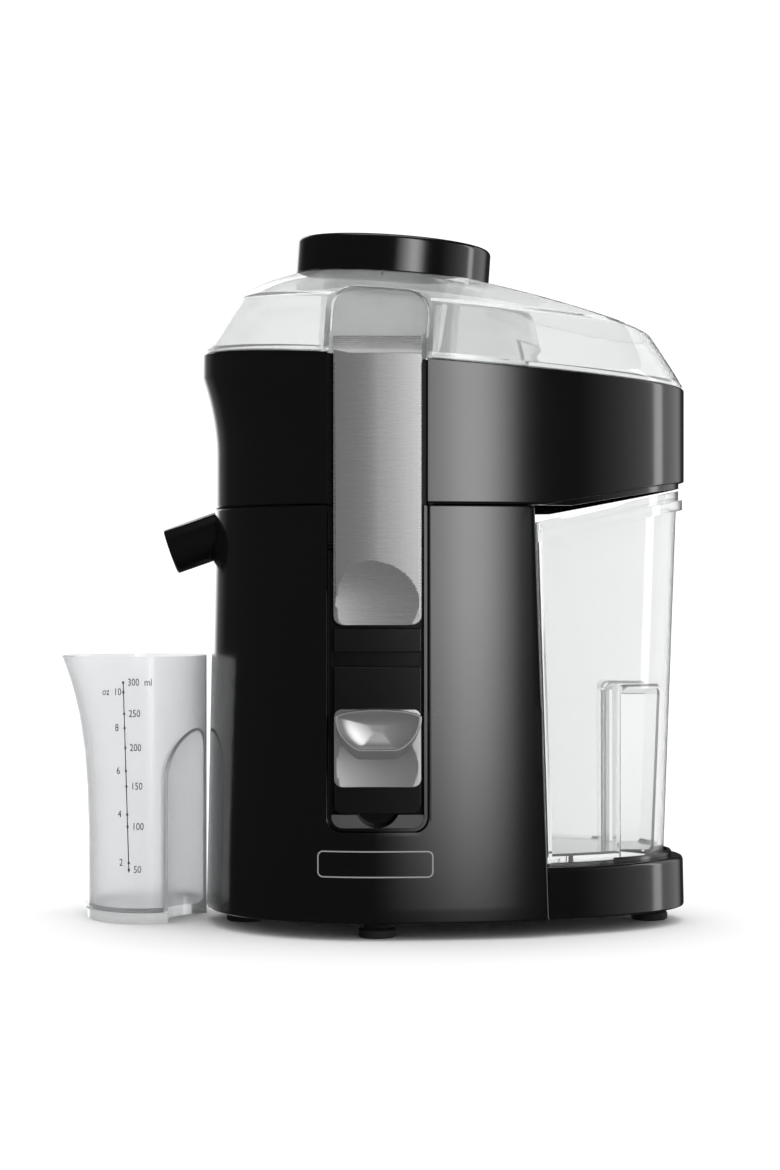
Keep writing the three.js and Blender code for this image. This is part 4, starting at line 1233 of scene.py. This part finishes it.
# ---- Studio ----
@dataclass(frozen=True)
class Screen:
    """A tall round diffuser that only shiny surfaces see, lit more in some directions than in others.

    Directions are degrees round the motor axis from the front, and strengths are radiances."""

    radius: float = 1.5
    span: Span = (-0.4, 1.2)
    strongest: float = 8.0
    key: tuple[Point, ...] = (
        (-180, 0), (2, 0), (10, 3.0), (15, 5.2), (20, 7.8), (24.5, 7.4), (29.5, 3.9), (34, 0.5), (39, 0),
        (180, 0),
    )
    sides: tuple[Point, ...] = (
        (-180, 0.05), (-168, 1.5), (-157, 3.0), (-146, 0.3), (-130, 0.05), (39, 0.05), (52, 0.05),
        (60, 0.28), (70, 0.6), (88, 1.2), (92, 1.3), (92.5, 5.0), (100, 5.0), (100.5, 1.2), (125, 1.2),
        (140, 0.05), (180, 0.05),
    )
    key_fade: tuple[Point, ...] = ((-0.12, 0.08), (-0.05, 0.36), (0.06, 0.72), (0.2, 1.0))
    side_fade: tuple[Point, ...] = ((-0.12, 0.8), (0.2, 1.0))

    def build(self) -> None:
        """Builds the screen round the origin."""
        shape = bmesh.new()
        edges = []
        for z in self.span:
            ring = bmesh.ops.create_circle(shape, cap_ends=False, radius=self.radius, segments=180)["verts"]
            bmesh.ops.translate(shape, verts=ring, vec=(0, 0, z))
            edges += ring_of_edges(ring)
        bmesh.ops.bridge_loops(shape, edges=edges)
        mesh = bpy.data.meshes.new("screen")
        shape.to_mesh(mesh)
        shape.free()
        mesh.materials.append(self.material())
        screen = linked("screen", mesh)
        screen.visible_camera = False
        screen.visible_diffuse = False
        screen.visible_transmission = False
        screen.visible_shadow = False

    def material(self) -> bpy.types.Material:
        """Returns the glow, graded round the object and upwards."""
        made = bpy.data.materials.new("lit_diffuser_cloth")
        made.use_nodes = True
        tree = made.node_tree
        tree.nodes.clear()
        place = add_node(tree, "ShaderNodeTexCoord")
        parts = add_node(tree, "ShaderNodeSeparateXYZ", links={"Vector": place.outputs["Object"]})
        front = self.maths(tree, "MULTIPLY", parts.outputs["Y"], -1.0)
        angle = self.maths(tree, "ARCTAN2", parts.outputs["X"], front)
        turn = add_node(
            tree, "ShaderNodeMapRange", {"From Min": -math.pi, "From Max": math.pi}, {"Value": angle},
        )
        rise = add_node(
            tree, "ShaderNodeMapRange", {"From Min": self.span[0], "From Max": self.span[1]},
            {"Value": parts.outputs["Z"]},
        )
        key = self.graded(tree, self.key, self.key_fade, turn, rise)
        sides = self.graded(tree, self.sides, self.side_fade, turn, rise)
        scaled = self.maths(tree, "MULTIPLY", self.maths(tree, "ADD", key, sides), self.strongest)
        light = add_node(tree, "ShaderNodeEmission", links={"Strength": scaled})
        add_node(tree, "ShaderNodeOutputMaterial", links={"Surface": light.outputs["Emission"]})
        return made

    def graded(
        self, tree: bpy.types.NodeTree, glow: Sequence[Point], fade: Sequence[Point],
        turn: bpy.types.Node, rise: bpy.types.Node,
    ) -> bpy.types.NodeSocket:
        """Adds one light's grading.

        Args:
            tree: where it goes.
            glow: directions and radiances.
            fade: heights and shares of the radiance.
            turn: the node that gives the direction, from 0 to 1.
            rise: the node that gives the height, from 0 to 1.

        Returns:
            The output with the product.
        """
        height = self.span[1] - self.span[0]
        stops = [(angle / 360 + 0.5, level / self.strongest) for angle, level in glow]
        shares = [((z - self.span[0]) / height, share) for z, share in fade]
        return self.maths(tree, "MULTIPLY", self.ramp(tree, stops, turn), self.ramp(tree, shares, rise))

    def maths(
        self, tree: bpy.types.NodeTree, operation: str, first: bpy.types.NodeSocket,
        second: bpy.types.NodeSocket | float,
    ) -> bpy.types.NodeSocket:
        """Adds a sum or a product.

        Args:
            tree: where it goes.
            operation: its name in the shader editor.
            first: the output that comes first.
            second: another output, or a number.

        Returns:
            The output with the result.
        """
        node = add_node(tree, "ShaderNodeMath", {"operation": operation}, {0: first})
        if isinstance(second, float):
            node.inputs[1].default_value = second
        else:
            tree.links.new(second, node.inputs[1])
        return node.outputs[0]

    def ramp(
        self, tree: bpy.types.NodeTree, stops: Sequence[Point], source: bpy.types.Node
    ) -> bpy.types.NodeSocket:
        """Adds a grey ramp.

        Args:
            tree: where it goes.
            stops: places from 0 to 1 and their grey levels.
            source: the node whose result feeds it.

        Returns:
            The output with the level.
        """
        node = add_node(tree, "ShaderNodeValToRGB", links={"Fac": source.outputs["Result"]})
        elements = node.color_ramp.elements
        while len(elements) > 1:
            elements.remove(elements[-1])
        for i, (place, level) in enumerate(stops):
            element = elements[0] if i == 0 else elements.new(place)
            element.position = place
            element.color = (level, level, level, 1.0)
        return node.outputs["Color"]


@dataclass
class Studio:
    """Floor, light and camera."""

    camera_azimuth: float = -1.5
    camera_distance: float = 1.170
    camera_height: float = 0.1418
    camera_side: float = 0.0071
    lens: float = 80.0
    shift_up: float = 0.0168
    floor_radius: float = 0.34
    overhead_size: tuple[float, float] = (0.9, 0.7)
    overhead_height: float = 1.3
    overhead_watts: float = 4.0
    sky_strength: float = 1.15
    mirrored_sky_strength: float = 0.045
    def build(self) -> None:
        """Builds the whole set."""
        axis = row_matrix().to_translation()
        self.floor(axis)
        self.sky()
        Screen().build()
        self.overhead(axis)
        self.camera(axis)
        bpy.context.scene.view_settings.view_transform = "Standard"

    def overhead(self, axis: Vector) -> None:
        """Hangs a soft light over the object.

        Args:
            axis: the point on the floor under its middle.
        """
        lamp = bpy.data.lights.new("overhead", "AREA")
        lamp.shape = "RECTANGLE"
        lamp.size, lamp.size_y = self.overhead_size
        lamp.energy = self.overhead_watts
        place = linked("overhead", lamp)
        place.location = axis + Vector((0, 0, self.overhead_height))
        place.visible_camera = False
        place.visible_transmission = False

    def floor(self, axis: Vector) -> None:
        """Lays a plain pale round floor.

        Args:
            axis: its middle.
        """
        shape = bmesh.new()
        middle = Matrix.Translation(axis)
        bmesh.ops.create_circle(shape, cap_ends=True, radius=self.floor_radius, segments=96, matrix=middle)
        mesh = bpy.data.meshes.new("floor")
        shape.to_mesh(mesh)
        shape.free()
        mesh.materials.append(Finish("painted_board", "floor", "f6f6f6", 0.9, grain=4).material())
        ground = linked("floor", mesh)
        ground.visible_glossy = False

    def sky(self) -> None:
        """Surrounds the set with white that shiny surfaces see only dimly, as in a dark studio."""
        world = bpy.data.worlds.new("studio")
        bpy.context.scene.world = world
        world.use_nodes = True
        tree = world.node_tree
        tree.nodes.clear()
        white = add_node(tree, "ShaderNodeBackground", {"Color": WHITE, "Strength": self.sky_strength})
        dim = add_node(
            tree, "ShaderNodeBackground", {"Color": WHITE, "Strength": self.mirrored_sky_strength},
        )
        path = add_node(tree, "ShaderNodeLightPath")
        mirrored = add_node(
            tree, "ShaderNodeMath", {"operation": "GREATER_THAN"}, {"Value": path.outputs["Is Glossy Ray"]},
        )
        tree.links.new(path.outputs["Is Transmission Ray"], mirrored.inputs[1])
        mix = add_node(tree, "ShaderNodeMixShader", links={"Fac": mirrored.outputs["Value"]})
        tree.links.new(white.outputs["Background"], mix.inputs[1])
        tree.links.new(dim.outputs["Background"], mix.inputs[2])
        add_node(tree, "ShaderNodeOutputWorld", links={"Surface": mix.outputs["Shader"]})

    def camera(self, axis: Vector) -> None:
        """Sets up the camera, level, at the height of the switch.

        Args:
            axis: the motor axis on the floor.
        """
        angle = math.radians(self.camera_azimuth)
        back = Vector((math.sin(angle), -math.cos(angle), 0.0))
        right = Vector((math.cos(angle), math.sin(angle), 0.0))
        lens = bpy.data.cameras.new("camera")
        lens.lens = self.lens
        lens.sensor_width = 36.0
        lens.shift_y = self.shift_up
        camera = linked("camera", lens)
        camera.location = axis + back * self.camera_distance + right * self.camera_side
        camera.location.z = self.camera_height
        camera.rotation_euler = (math.pi / 2, 0, angle)
        bpy.context.scene.camera = camera


def main() -> None:
    """Builds the juicer and the studio."""
    logging.basicConfig(level=logging.INFO, format="%(message)s")
    units = (
        BaseUnit(), Bowl(), Latch(), SlideSwitch(), Badge(), Strainer(), Lid(), PulpContainer(), JuiceCup(),
        InnerParts(),
    )
    for unit in units:
        log.info("%s", type(unit).__name__)
        unit.build()
    Studio().build()


if __name__ == "__main__":
    main()
